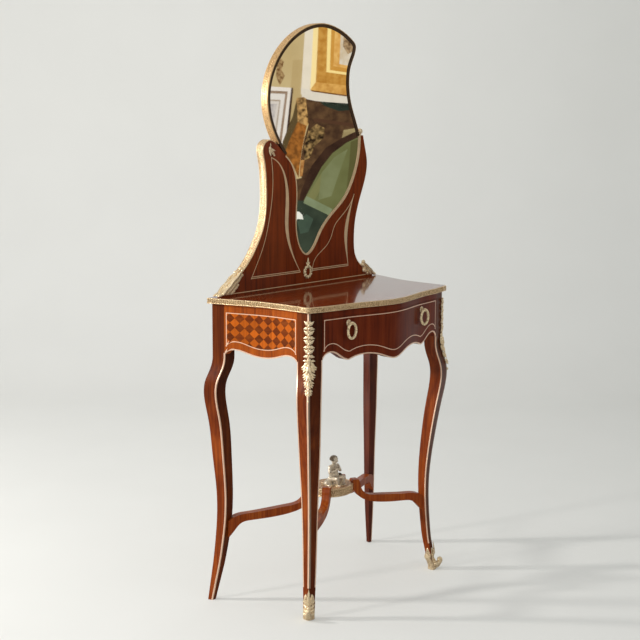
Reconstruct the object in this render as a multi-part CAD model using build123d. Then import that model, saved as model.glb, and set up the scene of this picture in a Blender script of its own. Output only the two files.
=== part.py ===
from build123d import *
from functools import cache
from math import cos, pi, radians, sin, sqrt
import os

# Poudreuse: a small serpentine dressing table on four cabriole legs, with one drawer, a putto on its
# cross stretcher, and a comma-shaped mirror that stands in an open board at the back.
# Millimetres. X is the width, the drawer opens towards -Y, Z is up. The floor is at Z = 0.

# Overall
TABLE_HEIGHT = 770.0
TABLE_DEPTH = 354.0
MIRROR_RISE = 668.0

# Top
TOP_THICKNESS = 14.0
TOP_OVERHANG = 8.0
TOP_BACK_OVERHANG = 6.0
TOP_CORNER_RADIUS = 12.0
BAND_THICKNESS = 3.0
BAND_LIP = 1.2
BAND_LIP_HEIGHT = 2.5
CLASP_PROUD = 1.6
CLASP_REACH = 24.0

# Case plan
FRONT_POST_X = 259.0
FRONT_POST_Y = -114.0
BACK_POST_X = 305.0
FRONT_SKEW = 15.0
BACK_SKEW = 16.0
SIDE_HOLLOW = 12.0
WAIST_X = 140.0
WAIST_DEPTH = 23.0
RAIL_THICKNESS = 18.0
BACK_RAIL_INSET = 3.0
BACK_RAIL_HEIGHT = 112.0
TOP_RAIL_HEIGHT = 16.0
TOP_RAIL_BACK = 26.0
BEARER_DEPTH = 26.0
BEARER_THICKNESS = 14.0
BEARER_TOP = 671.0

# Legs: one row for each station, as share of the spring height, reach along the diagonal, share of width
FRONT_LEG_WIDTH = 38.0
BACK_LEG_WIDTH = 34.0
SPRING_HEIGHT = 625.0
FRONT_LEG_FORM = (
    (1.00, 0.0, 1.00),
    (0.90, 15.0, 1.00),
    (0.745, 5.0, 0.93),
    (0.61, -11.0, 0.83),
    (0.48, -23.0, 0.71),
    (0.32, -27.0, 0.61),
    (0.16, -20.0, 0.54),
    (0.00, -4.0, 0.42),
)
BACK_LEG_FORM = (
    (1.00, 0.0, 1.00),
    (0.90, 19.5, 1.00),
    (0.745, 12.0, 0.95),
    (0.61, 3.0, 0.89),
    (0.48, -5.5, 0.78),
    (0.32, -6.5, 0.69),
    (0.16, 3.0, 0.56),
    (0.00, 17.0, 0.36),
)
BACK_KNEE_REACH = 22.8
FILLET_WIDTH = 3.0
ARRIS_WIDTH = 5.0

# Aprons: share of the half length, rise above the lowest point
APRON_BASE = 620.5
FRONT_APRON_OUTER = ((1.00, 20.0), (0.93, 34.5), (0.86, 34.5), (0.71, 16.0), (0.63, 11.0))
FRONT_APRON_INNER = ((0.63, 11.0), (0.54, 17.5), (0.40, 20.5), (0.21, 13.0), (0.0, 0.0))
SIDE_APRON_BASE = 626.0
SIDE_APRON = ((1.00, 6.0), (0.88, 16.0), (0.72, 18.5), (0.42, 11.5), (0.20, 6.0), (0.0, 4.5))
STRING_RAISE = 20.0
STRING_WIDTH = 2.0
STRING_DEPTH = 1.0
STRING_MARGIN = 4.0
STRING_TOP = 736.0

# Drawer
DRAWER_GAP = 0.8
DRAWER_FRONT_THICKNESS = 20.0
DRAWER_HALF_WIDTH = 204.0
DRAWER_BACK_Y = 122.0
DRAWER_WALL = 10.0
DRAWER_WALL_TOP = 732.0
DRAWER_CLEARANCE = 1.0
DRAWER_BOTTOM_RAISE = 6.0
DRAWER_BOTTOM_THICKNESS = 5.0
GROOVE_DEPTH = 4.0
GUIDE_THICKNESS = 12.0
KICKER_HEIGHT = 20.0

# Ring handles
HANDLE_X = 142.0
HANDLE_Z = 722.0
ROSETTE_RADIUS = 8.5
ROSETTE_THICKNESS = 3.0
EYE_REACH = 11.0
EYE_RADIUS = 4.6
EYE_THICKNESS = 5.0
PIN_RADIUS = 2.0
PIN_CLEARANCE = 0.06
RING_HALF_WIDTH = 14.5
RING_HALF_HEIGHT = 18.5
RING_END_RADIUS = 11.5
RING_TUBE_RADIUS = 3.6
EYE_SLOT_CLEARANCE = 0.4
STUD_RADIUS = 2.5
NUT_RADIUS = 5.0
NUT_THICKNESS = 4.0

# Chutes and sabots
CHUTE_TOP = 738.0
CHUTE_TIP = 545.0
CHUTE_THICKNESS = 4.0
CHUTE_WING = 17.0
CHUTE_TIERS = 4
CHUTE_TIER = 22.2
CHUTE_HOLE = (2.0, 6.0)
SABOT_TOP = 76.0
SABOT_THICKNESS = 2.6
SABOT_SOLE = 4.0
TOE_WIDTH = 13.0
TOE_FORM = (
    (-14.0, 0.0),
    (4.0, 0.0),
    (7.0, 9.0),
    (12.0, 14.0),
    (19.0, 22.0),
    (17.0, 30.0),
    (11.0, 33.0),
    (4.0, 26.0),
    (-14.0, 40.0),
)

# Stretcher
PLATFORM_Y = 38.0
PLATFORM_HALF_LENGTH = 58.0
PLATFORM_HALF_WIDTH = 48.0
PLATFORM_TOP = 259.0
PLATFORM_THICKNESS = 20.0
RIM_THICKNESS = 3.0
RIM_LIP = 2.0
ARM_WIDTH = 20.0
ARM_CENTRE = 209.0
ARM_THICKNESS = 19.0
ARM_CAP_TOP = 269.0
ARM_CAP_LENGTH = 17.0
ARM_TOP_AT_LEG = ((12.0, -14.0), (-14.0, -2.0), (-45.0, 0.0))
ARM_TOP_AT_RIM = ((70.0, 4.0), (35.0, 10.0))
ARM_UNDER_AT_LEG = ((12.0, -36.0), (-6.0, -18.0), (-22.0, -4.0), (-50.0, 0.0))
ARM_UNDER_AT_RIM = ((70.0, 3.0), (30.0, 13.0))
ARM_CAP_BEVEL = 3.0
PUTTO_HEIGHT = 80.0

# Upright board and mirror: outlines in hundredths of the board's width and of the mirror's rise
BOARD_WIDTH = 566.0
BOARD_THICKNESS = 24.0
BOARD_INSET = 2.0
BOARD_BAND = 3.0
OPENING_FILLET = 4.0
OPENING_FILLET_DEPTH = 3.0
LEFT_FLANK = (
    (-50.0, 0.9),
    (-42.2, 6.1),
    (-35.9, 10.6),
    (-29.2, 17.8),
    (-24.9, 25.1),
    (-23.3, 32.9),
    (-23.3, 40.4),
    (-24.6, 49.4),
    (-24.9, 54.6),
    (-21.7, 56.4),
    (-17.3, 55.1),
    (-11.0, 50.7),
)
OPENING = (
    (-11.0, 50.7),
    (-4.9, 44.2),
    (-3.4, 35.9),
    (-3.9, 24.0),
    (-2.7, 18.0),
    (0.5, 13.5),
    (3.2, 12.4),
    (6.0, 13.5),
    (12.0, 20.2),
    (19.8, 26.8),
    (29.0, 32.8),
    (35.3, 40.4),
    (38.9, 48.4),
    (39.9, 57.2),
)
RIGHT_FLANK = (
    (42.4, 57.2),
    (44.0, 52.1),
    (45.4, 46.1),
    (43.8, 39.4),
    (39.9, 31.4),
    (36.9, 23.2),
    (36.2, 15.7),
    (37.3, 9.4),
    (40.3, 5.8),
    (50.0, 0.9),
)
MIRROR_FLANK = (
    (39.9, 57.2),
    (37.1, 63.3),
    (33.6, 70.4),
    (32.2, 77.8),
    (33.4, 84.6),
    (36.6, 90.4),
    (36.8, 92.2),
    (34.5, 94.3),
    (26.5, 97.9),
    (15.0, 100.0),
    (3.5, 98.5),
    (-8.0, 93.4),
    (-16.8, 85.6),
    (-21.6, 76.3),
    (-21.7, 67.4),
    (-18.0, 59.1),
    (-11.0, 50.7),
)
LEFT_PANEL_THIN = (
    (-20.6, 50.0),
    (-19.6, 41.5),
    (-20.4, 33.5),
    (-22.0, 27.0),
    (-25.0, 18.7),
    (-30.5, 9.8),
    (-33.6, 5.4),
)
LEFT_PANEL_BROAD = (
    (-20.6, 50.0),
    (-13.2, 44.8),
    (-11.3, 39.1),
    (-11.2, 32.0),
    (-11.6, 24.9),
    (-10.4, 19.1),
    (-6.7, 12.2),
    (-1.4, 5.4),
)
RIGHT_PANEL_THIN = (
    (36.4, 34.1),
    (34.2, 31.0),
    (27.6, 25.8),
    (22.2, 21.8),
    (20.2, 18.2),
    (16.8, 14.6),
    (10.0, 10.8),
    (7.0, 5.4),
)
RIGHT_PANEL_BROAD = (
    (36.4, 34.1),
    (33.2, 26.2),
    (32.1, 22.0),
    (31.4, 17.5),
    (31.4, 12.5),
    (32.3, 5.4),
)
BROAD_LINE_SWELL = 11.0
BASE_LINE_RISE = 5.0
LEAF_LOBES = ((0.12, 13.0), (0.28, 9.0), (0.42, 16.0), (0.58, 10.0), (0.74, 15.0), (0.92, 7.0), (1.0, 0.0))
LEAF_OVERLAP = 16.0
LEAF_PROUD = 3.0
CREST_PLACE = (-20.2, 52.3)
CREST_TURN = 44.0
CREST_LEAF_TURN = 38.0
CREST_LEAF_SHIFT = 7.0
CREST_BUD = (8.0, 20.0, 1.0)
CREST_LEAF = (5.0, 14.0, 1.0)
CREST_PROUD = 5.0
WREATH_PLACE = (3.6, 5.3)
WREATH_RADIUS = 13.0
WREATH_TUBE = 3.6
WREATH_BUD = (5.5, 3.4, 13.0)
WREATH_BUD_RISE = 27.0
MIRROR_SETBACK = 1.0
GLASS_SETBACK = 3.0
GLASS_THICKNESS = 4.0
RIM_WIDTH = 8.0
MIRROR_BAND = 3.0
MIRROR_BAND_GAP = 30.0
BATTEN_THICKNESS = 6.0
BATTEN_WIDTH = 40.0
BATTEN_LENGTHS = ((-115.0, 205.0, 905.0), (-118.0, 232.0, 1060.0))
SCREW_HEAD_RADIUS = 4.0
SCREW_RADIUS = 2.0
SCREW_LENGTH = 20.0
SCREW_HEAD_THICKNESS = 1.6
SCREW_INSET = 14.0
FINIAL_RADIUS = 8.0
FINIAL_NECK = 5.0
FINIAL_HEIGHT = FINIAL_NECK + 1.8 * FINIAL_RADIUS

# Places that follow from the sizes above
CASE_TOP = TABLE_HEIGHT - TOP_THICKNESS
BOW_Y = -(TABLE_DEPTH / 2 - TOP_OVERHANG - BAND_THICKNESS)
BACK_LEG_TURN = cos(radians(BACK_SKEW)) / sqrt(2 + 2 * sin(radians(BACK_SKEW)))
BACK_POST_Y = TABLE_DEPTH / 2 - BACK_KNEE_REACH * BACK_LEG_TURN
TOP_BACK_Y = BACK_POST_Y + TOP_BACK_OVERHANG
BOARD_BACK_Y = TOP_BACK_Y - BOARD_INSET
BOARD_FRONT_Y = BOARD_BACK_Y - BOARD_THICKNESS
TOP_RAIL_BOTTOM = CASE_TOP - TOP_RAIL_HEIGHT
DRAWER_TOP = TOP_RAIL_BOTTOM - DRAWER_GAP
DRAWER_BASE = BEARER_TOP + DRAWER_CLEARANCE
SAW_DEPTH = 130.0
FAR = 1200.0


def slab(low, high):
    """Everything between two heights."""
    return Pos(0, 0, (low + high) / 2) * Box(FAR, FAR, high - low)


def side_slab(low, high):
    """Everything between two places along X."""
    return Pos((low + high) / 2, 0, TABLE_HEIGHT) * Box(high - low, FAR, 2 * FAR)


def rise(face, low, high):
    """A plan drawing raised between two heights."""
    return Pos(0, 0, low) * extrude(face, amount=high - low, dir=(0, 0, 1))


def drive(face, front, back):
    """An elevation drawing carried from the front plane to the back plane."""
    return Pos(0, front, 0) * extrude(face, amount=back - front, dir=(0, 1, 0))


def beside(curve, distance, swell=0.0):
    """A curve moved to its left by a distance, and by a swell that grows from nothing at both ends."""
    steps = int(curve.length / 16) + 8
    points = []
    for step in range(steps + 1):
        share = step / steps
        tangent = curve % share
        shift = distance + swell * sin(pi * share) ** 2
        points.append(curve @ share + Vector(-tangent.Y, tangent.X) * shift)
    return Spline(*points, tangents=[curve % 0, curve % 1])


def ribbon(curve, width, swell=0.0):
    """A strip along the left of a curve, or along its right where the width and the swell are negative."""
    far = beside(curve, width, swell)
    return make_face([curve, far, Line(curve @ 0, far @ 0), Line(curve @ 1, far @ 1)])


def corner_frame(front, side):
    """Outer arris of a post, and the inward directions of its side face and of its end face."""
    if front:
        skew = radians(FRONT_SKEW)
        corner = Vector(side * FRONT_POST_X, FRONT_POST_Y)
        return corner, Vector(0, 1), Vector(-side * cos(skew), -sin(skew))
    skew = radians(BACK_SKEW)
    corner = Vector(side * BACK_POST_X, BACK_POST_Y)
    return corner, Vector(-side * sin(skew), -cos(skew)), Vector(-side, 0)


def post_width(front):
    return FRONT_LEG_WIDTH if front else BACK_LEG_WIDTH


def saw_line(front, share, extra, spread, squint):
    """One sawn line from the spring of the knee to the floor: a share of the width, and an extra."""
    form = FRONT_LEG_FORM if front else BACK_LEG_FORM
    points = []
    for height, reach, width in form:
        offset = share * width * post_width(front) + extra - reach / spread
        points.append((squint * offset, height * SPRING_HEIGHT))
    return points


@cache
def saw_cut(front, side, along_side, near, far):
    """A band between two sawn lines, cut right through the leg from one of its two outer faces."""
    corner, side_run, end_run = corner_frame(front, side)
    spread = (side_run + end_run).length
    run, through = (side_run, end_run) if along_side else (end_run, side_run)
    normal = Vector(-through.Y, through.X)
    normal = normal if normal.dot(run) > 0 else normal * -1
    squint = normal.dot(run)
    lines = []
    for share, extra in (near, far):
        lines.append(saw_line(front, share, extra, spread, squint))
    edges = []
    for points in lines:
        end = Vector(*points[-1]) - Vector(*points[-2])
        edges.append(Line((points[0][0], CASE_TOP), points[0]))
        edges.append(Spline(*points, tangents=[(0, -1), (end.X, end.Y)]))
    edges.append(Line((lines[0][0][0], CASE_TOP), (lines[1][0][0], CASE_TOP)))
    edges.append(Line(lines[0][-1], lines[1][-1]))
    plane = Plane(origin=corner, x_dir=normal, z_dir=Vector(normal.Y, -normal.X))
    return extrude(plane * make_face(edges), amount=SAW_DEPTH, both=True)


@cache
def limb(front, side, side_band, end_band, low=0.0, high=CASE_TOP):
    """A bar that follows a leg: what two saw cuts, one from each outer face, leave between two heights."""
    from_side = saw_cut(front, side, True, *side_band)
    from_end = saw_cut(front, side, False, *end_band)
    return from_side & from_end & slab(low, high)


WHOLE = ((0.0, 0.0), (1.0, 0.0))
OUTER_STRIP = ((0.0, 0.0), (0.0, FILLET_WIDTH))
INNER_STRIP = ((1.0, -FILLET_WIDTH), (1.0, 0.0))
ARRIS_STRIP = ((0.0, 0.0), (0.0, ARRIS_WIDTH))


@cache
def leg_blank(front, side, low=0.0):
    return limb(front, side, WHOLE, WHOLE, low)


@cache
def side_fillet_on_leg(front, side):
    low = SABOT_TOP if front else 0.0
    high = SIDE_APRON_BASE + SIDE_APRON[0][1] + FILLET_WIDTH
    return limb(front, side, INNER_STRIP, OUTER_STRIP, low, high)


@cache
def front_fillet_on_leg(side):
    return limb(True, side, OUTER_STRIP, INNER_STRIP, SABOT_TOP, APRON_BASE + FRONT_APRON_OUTER[0][1])


@cache
def arris_strip(side):
    return limb(True, side, ARRIS_STRIP, ARRIS_STRIP, SABOT_TOP, CASE_TOP)


def leg(front, side):
    body = leg_blank(front, side, SABOT_SOLE if front else 0.0)
    body -= side_fillet_on_leg(front, side)
    if front:
        body -= front_fillet_on_leg(side)
        body -= arris_strip(side)
    return body


@cache
def side_line(side, inset):
    """Plan curve of a side between its posts, moved inwards by the inset."""
    ends = []
    for front in (False, True):
        corner, side_run, end_run = corner_frame(front, side)
        square = abs(side_run.cross(end_run).Z)
        ends.append(corner + side_run * post_width(front) + end_run * (inset / square))
    middle = (ends[0] + ends[1]) * 0.5 - Vector(side * SIDE_HOLLOW, 0)
    tangents = [corner_frame(False, side)[1], Vector(0, -1)]
    return Spline(ends[0], middle, ends[1], tangents=tangents)


def side_band(side, near, far):
    """Plan of a side between two insets."""
    outer = side_line(side, near)
    inner = side_line(side, far)
    return make_face([outer, inner, Line(outer @ 0, inner @ 0), Line(outer @ 1, inner @ 1)])


@cache
def front_line(inset):
    """Serpentine plan curve of the front between its posts, moved inwards by the inset."""
    corner, side_run, end_run = corner_frame(True, 1)
    square = abs(side_run.cross(end_run).Z)
    right = corner + end_run * FRONT_LEG_WIDTH + side_run * (inset / square)
    left = Vector(-right.X, right.Y)
    waist_y = FRONT_POST_Y - WAIST_DEPTH + inset
    points = [right, (WAIST_X, waist_y), (0, BOW_Y + inset), (-WAIST_X, waist_y), left]
    return Spline(*points, tangents=[end_run, Vector(end_run.X, -end_run.Y)])


def front_band(near, far):
    outer = front_line(near)
    inner = front_line(far)
    return make_face([outer, inner, Line(outer @ 0, inner @ 0), Line(outer @ 1, inner @ 1)])


def grown_corner(front, side, grow, back_grow):
    """A corner of the plan after the side and the end faces move outwards."""
    corner, side_run, end_run = corner_frame(front, side)
    square = abs(side_run.cross(end_run).Z)
    end_grow = grow if front else back_grow
    return corner - end_run * (grow / square) - side_run * (end_grow / square)


@cache
def top_plan(grow, radius):
    """Plan of the top: the case's own outline, moved outwards, with rounded front corners."""
    edges = []
    for side in (-1, 1):
        line = side_line(side, -grow)
        front_corner = grown_corner(True, side, grow, TOP_BACK_OVERHANG)
        back_corner = grown_corner(False, side, grow, TOP_BACK_OVERHANG)
        edges += [line, Line(back_corner, line @ 0), Line(line @ 1, front_corner)]
    line = front_line(-grow)
    for end, side in ((line @ 0, 1), (line @ 1, -1)):
        edges.append(Line(end, grown_corner(True, side, grow, TOP_BACK_OVERHANG)))
    back_corners = [grown_corner(False, side, grow, TOP_BACK_OVERHANG) for side in (-1, 1)]
    edges += [line, Line(*back_corners)]
    face = make_face(edges)
    corners = []
    for side in (-1, 1):
        place = grown_corner(True, side, grow, TOP_BACK_OVERHANG)
        corners.append(face.vertices().sort_by_distance(place)[0])
    return fillet(corners, radius)


def tabletop():
    return rise(top_plan(TOP_OVERHANG, TOP_CORNER_RADIUS), CASE_TOP, TABLE_HEIGHT)


def band_ring(proud, low, high):
    inner = top_plan(TOP_OVERHANG, TOP_CORNER_RADIUS)
    outer = top_plan(TOP_OVERHANG + proud, TOP_CORNER_RADIUS + proud)
    return rise(outer - inner, low, high)


def tabletop_band():
    """Gilt band round the front and sides: a raised face between two lips, and a clasp at each corner."""
    lip = BAND_THICKNESS - BAND_LIP
    band = band_ring(lip, CASE_TOP, TABLE_HEIGHT)
    band += band_ring(BAND_THICKNESS, CASE_TOP + BAND_LIP_HEIGHT, TABLE_HEIGHT - BAND_LIP_HEIGHT)
    clasp_ring = band_ring(BAND_THICKNESS + CLASP_PROUD, CASE_TOP, TABLE_HEIGHT)
    for side in (-1, 1):
        corner = grown_corner(True, side, TOP_OVERHANG, 0)
        reach = Cylinder(CLASP_REACH, 2 * TOP_THICKNESS)
        band += clasp_ring & (Pos(corner.X, corner.Y, TABLE_HEIGHT) * reach)
    return band


def apron_edge(shares, half, base):
    """One run of a shaped lower edge: shares of the half length, and rises above the base."""
    return Spline(*[(share * half, base + height) for share, height in shares])


def mirrored(shares):
    return [(-share, height) for share, height in shares]


def front_edges(half, lift):
    """The front's shaped lower edge, from left to right, in three runs that meet in two cusps."""
    base = APRON_BASE + lift
    runs = (
        mirrored(FRONT_APRON_OUTER),
        mirrored(FRONT_APRON_INNER[:-1]) + list(reversed(FRONT_APRON_INNER)),
        list(reversed(FRONT_APRON_OUTER)),
    )
    return [apron_edge(run, half, base) for run in runs]


def side_edges(half, lift):
    """A side's shaped lower edge in one run."""
    run = mirrored(SIDE_APRON[:-1]) + list(reversed(SIDE_APRON))
    return [apron_edge(run, half, SIDE_APRON_BASE + lift)]


def elevation(edges, top):
    """What lies above a shaped lower edge, up to a straight top."""
    start, end = edges[0] @ 0, edges[-1] @ 1
    return make_face([*edges, Polyline(start, (start.X, top), (end.X, top), end)])


def edge_strip(edges, width):
    strip = ribbon(edges[0], width)
    for edge in edges[1:]:
        strip += ribbon(edge, width)
    return strip


def string_line(edges, top):
    """Stringing round a panel: along its shaped lower edge, up both ends and across the top."""
    line = edge_strip(edges, STRING_WIDTH)
    start, end = edges[0] @ 0, edges[-1] @ 1
    height = top - start.Y
    for x in (start.X + STRING_WIDTH / 2, end.X - STRING_WIDTH / 2):
        line += Pos(x, start.Y + height / 2) * Rectangle(STRING_WIDTH, height)
    return line + Pos(0, top - STRING_WIDTH / 2) * Rectangle(end.X - start.X, STRING_WIDTH)


def side_reach(side):
    """Middle and half length of a side between its posts, along Y."""
    line = side_line(side, 0)
    back, front = (line @ 0).Y, (line @ 1).Y
    return (back + front) / 2, (back - front) / 2


def across_side(face, side):
    """A drawing of a side's elevation, centred between the posts and carried outwards."""
    return Pos(0, side_reach(side)[0], 0) * extrude(Plane.YZ * face, amount=side * FAR / 2)


@cache
def side_skin(side, depth):
    return rise(side_band(side, 0, depth), 0, CASE_TOP)


@cache
def side_stringing(side):
    line = string_line(side_edges(side_reach(side)[1] - STRING_MARGIN, STRING_RAISE), STRING_TOP)
    return side_skin(side, STRING_DEPTH) & across_side(line, side)


@cache
def side_edge_fillet(side):
    """Brass along the shaped lower edge of a side rail."""
    strip = edge_strip(side_edges(side_reach(side)[1], 0), FILLET_WIDTH)
    return side_skin(side, FILLET_WIDTH) & across_side(strip, side)


def side_rail(side):
    profile = elevation(side_edges(side_reach(side)[1], 0), CASE_TOP)
    rail = side_skin(side, RAIL_THICKNESS) & across_side(profile, side)
    return rail - side_stringing(side) - side_edge_fillet(side)


def side_fillet(side):
    """One brass line down the back leg, along the side apron and down the front leg."""
    return side_fillet_on_leg(False, side) + side_edge_fillet(side) + side_fillet_on_leg(True, side)


def back_rail():
    corner, side_run, end_run = corner_frame(False, 1)
    face_y = BACK_POST_Y - BACK_RAIL_INSET
    near = corner + end_run * BACK_LEG_WIDTH
    slope = side_run.X / side_run.Y
    points = []
    for y in (face_y, face_y - RAIL_THICKNESS):
        points.append((near.X + slope * (y - corner.Y), y))
    points += [(-x, y) for x, y in reversed(points)]
    return rise(make_face(Polyline(*points, close=True)), CASE_TOP - BACK_RAIL_HEIGHT, CASE_TOP)


def front_top_rail():
    line = front_line(0)
    end = line @ 0
    back = end.Y + TOP_RAIL_BACK
    edges = [line, Polyline(line @ 0, (end.X, back), (-end.X, back), line @ 1)]
    return rise(make_face(edges), TOP_RAIL_BOTTOM, CASE_TOP)


def bearer_front_y():
    return (front_line(DRAWER_FRONT_THICKNESS) @ 0).Y + DRAWER_CLEARANCE


def post_inner_x():
    return (front_line(0) @ 0).X


def front_bearer_rail():
    y = bearer_front_y() + BEARER_DEPTH / 2
    z = BEARER_TOP - BEARER_THICKNESS / 2
    return Pos(0, y, z) * Box(2 * post_inner_x(), BEARER_DEPTH, BEARER_THICKNESS)


def case_run():
    """Front and back of the space that the drawer's guides span."""
    return bearer_front_y() + BEARER_DEPTH, BACK_POST_Y - BACK_RAIL_INSET - RAIL_THICKNESS


def guide_batten(side, low, high, inner, outer):
    front, back = case_run()
    x = side * (inner + outer) / 2
    batten = Box(outer - inner, back - front, high - low)
    return Pos(x, (front + back) / 2, (low + high) / 2) * batten


def drawer_runners():
    """An L-shaped runner at each side: it carries the drawer and guides its side."""
    inner = DRAWER_HALF_WIDTH - DRAWER_WALL - 2 * DRAWER_CLEARANCE
    guide = DRAWER_HALF_WIDTH + DRAWER_CLEARANCE
    parts = []
    for side in (-1, 1):
        runner = guide_batten(side, BEARER_TOP - BEARER_THICKNESS, BEARER_TOP, inner, guide + GUIDE_THICKNESS)
        fence = guide_batten(side, BEARER_TOP, BEARER_TOP + KICKER_HEIGHT, guide, guide + GUIDE_THICKNESS)
        parts.append(runner + fence)
    return Compound(parts)


def drawer_kickers():
    """A batten above each drawer side keeps the open drawer from tipping."""
    front = (front_line(0) @ 0).Y + TOP_RAIL_BACK
    back = case_run()[1]
    low = DRAWER_WALL_TOP + DRAWER_CLEARANCE
    parts = []
    for side in (-1, 1):
        x = side * (DRAWER_HALF_WIDTH - DRAWER_WALL / 2)
        batten = Box(2 * DRAWER_WALL, back - front, CASE_TOP - low)
        parts.append(Pos(x, (front + back) / 2, (low + CASE_TOP) / 2) * batten)
    return Compound(parts)


def drawer_half():
    return post_inner_x() - DRAWER_GAP


@cache
def front_skin(depth):
    return rise(front_band(0, depth), 0, CASE_TOP)


def across_front(face):
    """A drawing of the front's elevation, carried through the serpentine front."""
    return drive(Plane.XZ * face, -FAR / 2, 0)


@cache
def front_stringing():
    line = string_line(front_edges(drawer_half() - STRING_MARGIN, STRING_RAISE), STRING_TOP)
    return front_skin(STRING_DEPTH) & across_front(line)


@cache
def drawer_fillet():
    """Brass along the shaped lower edge of the drawer front."""
    return front_skin(FILLET_WIDTH) & across_front(edge_strip(front_edges(drawer_half(), 0), FILLET_WIDTH))


@cache
def front_surface_y(x):
    """Place of the front's surface at a distance from the middle, by halving."""
    line = front_line(0)
    near, far = 0.0, 1.0
    for _ in range(24):
        half = (near + far) / 2
        if (line @ half).X > x:
            near = half
        else:
            far = half
    return (line @ near).Y


def handle_stud(side):
    y = front_surface_y(side * HANDLE_X)
    length = DRAWER_FRONT_THICKNESS + 2 * NUT_THICKNESS
    return Pos(side * HANDLE_X, y + length / 2, HANDLE_Z) * (Rot(90, 0, 0) * Cylinder(STUD_RADIUS, length))


def drawer_front():
    profile = elevation(front_edges(drawer_half(), 0), DRAWER_TOP)
    body = front_skin(DRAWER_FRONT_THICKNESS) & across_front(profile)
    body -= front_stringing()
    body -= drawer_fillet()
    for side in (-1, 1):
        body -= handle_stud(side)
    return body - bottom_board()


@cache
def bottom_board():
    """Drawer bottom: it stands in grooves of the sides and reaches into the serpentine front."""
    low = DRAWER_BASE + DRAWER_BOTTOM_RAISE
    half = DRAWER_HALF_WIDTH - DRAWER_WALL + GROOVE_DEPTH
    line = front_line(DRAWER_FRONT_THICKNESS - GROOVE_DEPTH)
    end = line @ 0
    outline = [line, Polyline(line @ 0, (end.X, DRAWER_BACK_Y), (-end.X, DRAWER_BACK_Y), line @ 1)]
    board = rise(make_face(outline), low, low + DRAWER_BOTTOM_THICKNESS)
    return board & side_slab(-half, half)


def drawer_side(side):
    x = side * (DRAWER_HALF_WIDTH - DRAWER_WALL / 2)
    front = BOW_Y
    blank = Box(DRAWER_WALL, DRAWER_BACK_Y - front, DRAWER_WALL_TOP - DRAWER_BASE)
    wall = Pos(x, (DRAWER_BACK_Y + front) / 2, (DRAWER_WALL_TOP + DRAWER_BASE) / 2) * blank
    line = front_line(DRAWER_FRONT_THICKNESS)
    end = line @ 0
    behind = make_face([line, Polyline(line @ 0, (end.X, FAR / 2), (-end.X, FAR / 2), line @ 1)])
    wall &= rise(behind, 0, CASE_TOP)
    return wall - bottom_board()


def drawer_back():
    low = DRAWER_BASE + DRAWER_BOTTOM_RAISE + DRAWER_BOTTOM_THICKNESS
    width = 2 * (DRAWER_HALF_WIDTH - DRAWER_WALL)
    y = DRAWER_BACK_Y - DRAWER_WALL / 2
    blank = Box(width, DRAWER_WALL, DRAWER_WALL_TOP - low)
    return Pos(0, y, (DRAWER_WALL_TOP + low) / 2) * blank


def eye_y(side):
    return front_surface_y(side * HANDLE_X) - EYE_REACH


def handle_boss(side):
    """A domed rosette with an eye in front, and a threaded stud through the drawer front."""
    x = side * HANDLE_X
    surface = front_surface_y(x)
    disc = Rot(90, 0, 0) * Cylinder(ROSETTE_RADIUS, ROSETTE_THICKNESS)
    rosette = Pos(x, surface - ROSETTE_THICKNESS / 2, HANDLE_Z) * disc
    rim = rosette.edges().filter_by(GeomType.CIRCLE).sort_by(Axis.Y)[0]
    rosette = fillet(rim, ROSETTE_THICKNESS * 0.6)
    block = Box(EYE_THICKNESS, surface - eye_y(side), 2 * EYE_RADIUS)
    lug = Pos(x, (surface + eye_y(side)) / 2, HANDLE_Z) * block
    eye = Pos(x, eye_y(side), HANDLE_Z) * (Rot(0, 90, 0) * Cylinder(EYE_RADIUS, EYE_THICKNESS))
    drill = Rot(0, 90, 0) * Cylinder(PIN_RADIUS + PIN_CLEARANCE, 2 * EYE_THICKNESS)
    bore = Pos(x, eye_y(side), HANDLE_Z) * drill
    proud = rise(front_band(-EYE_REACH - 2 * EYE_RADIUS, 0), 0, CASE_TOP)
    head = (rosette + lug + eye) & proud
    return head + handle_stud(side) - bore


def handle_nuts():
    room = DRAWER_FRONT_THICKNESS + 3 * NUT_RADIUS
    behind = rise(front_band(DRAWER_FRONT_THICKNESS, room), 0, CASE_TOP)
    nuts = []
    for side in (-1, 1):
        x = side * HANDLE_X
        back = front_surface_y(x) + DRAWER_FRONT_THICKNESS
        blank = Rot(90, 0, 0) * extrude(RegularPolygon(NUT_RADIUS, 6), amount=NUT_THICKNESS * 1.5)
        nut = Pos(x, back + NUT_THICKNESS, HANDLE_Z) * blank
        nut -= handle_stud(side)
        nuts.append(nut & behind)
    return Compound(nuts)


def ring_oval():
    """An oval of four arcs that meet smoothly: tight at the top and bottom, flatter at the sides."""
    climb = RING_HALF_HEIGHT - RING_END_RADIUS
    bulge = RING_HALF_WIDTH - RING_END_RADIUS
    centre = (climb**2 - bulge**2) / (2 * bulge)
    joint = Vector(0, climb) + Vector(centre, climb).normalized() * RING_END_RADIUS
    x, z = joint.X, joint.Y
    ends = [ThreePointArc((-x, turn * z), (0, turn * RING_HALF_HEIGHT), (x, turn * z)) for turn in (1, -1)]
    sides = [ThreePointArc((turn * x, z), (turn * RING_HALF_WIDTH, 0), (turn * x, -z)) for turn in (1, -1)]
    return Wire([ends[0].edge(), sides[0].edge(), ends[1].edge(), sides[1].edge()])


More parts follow.
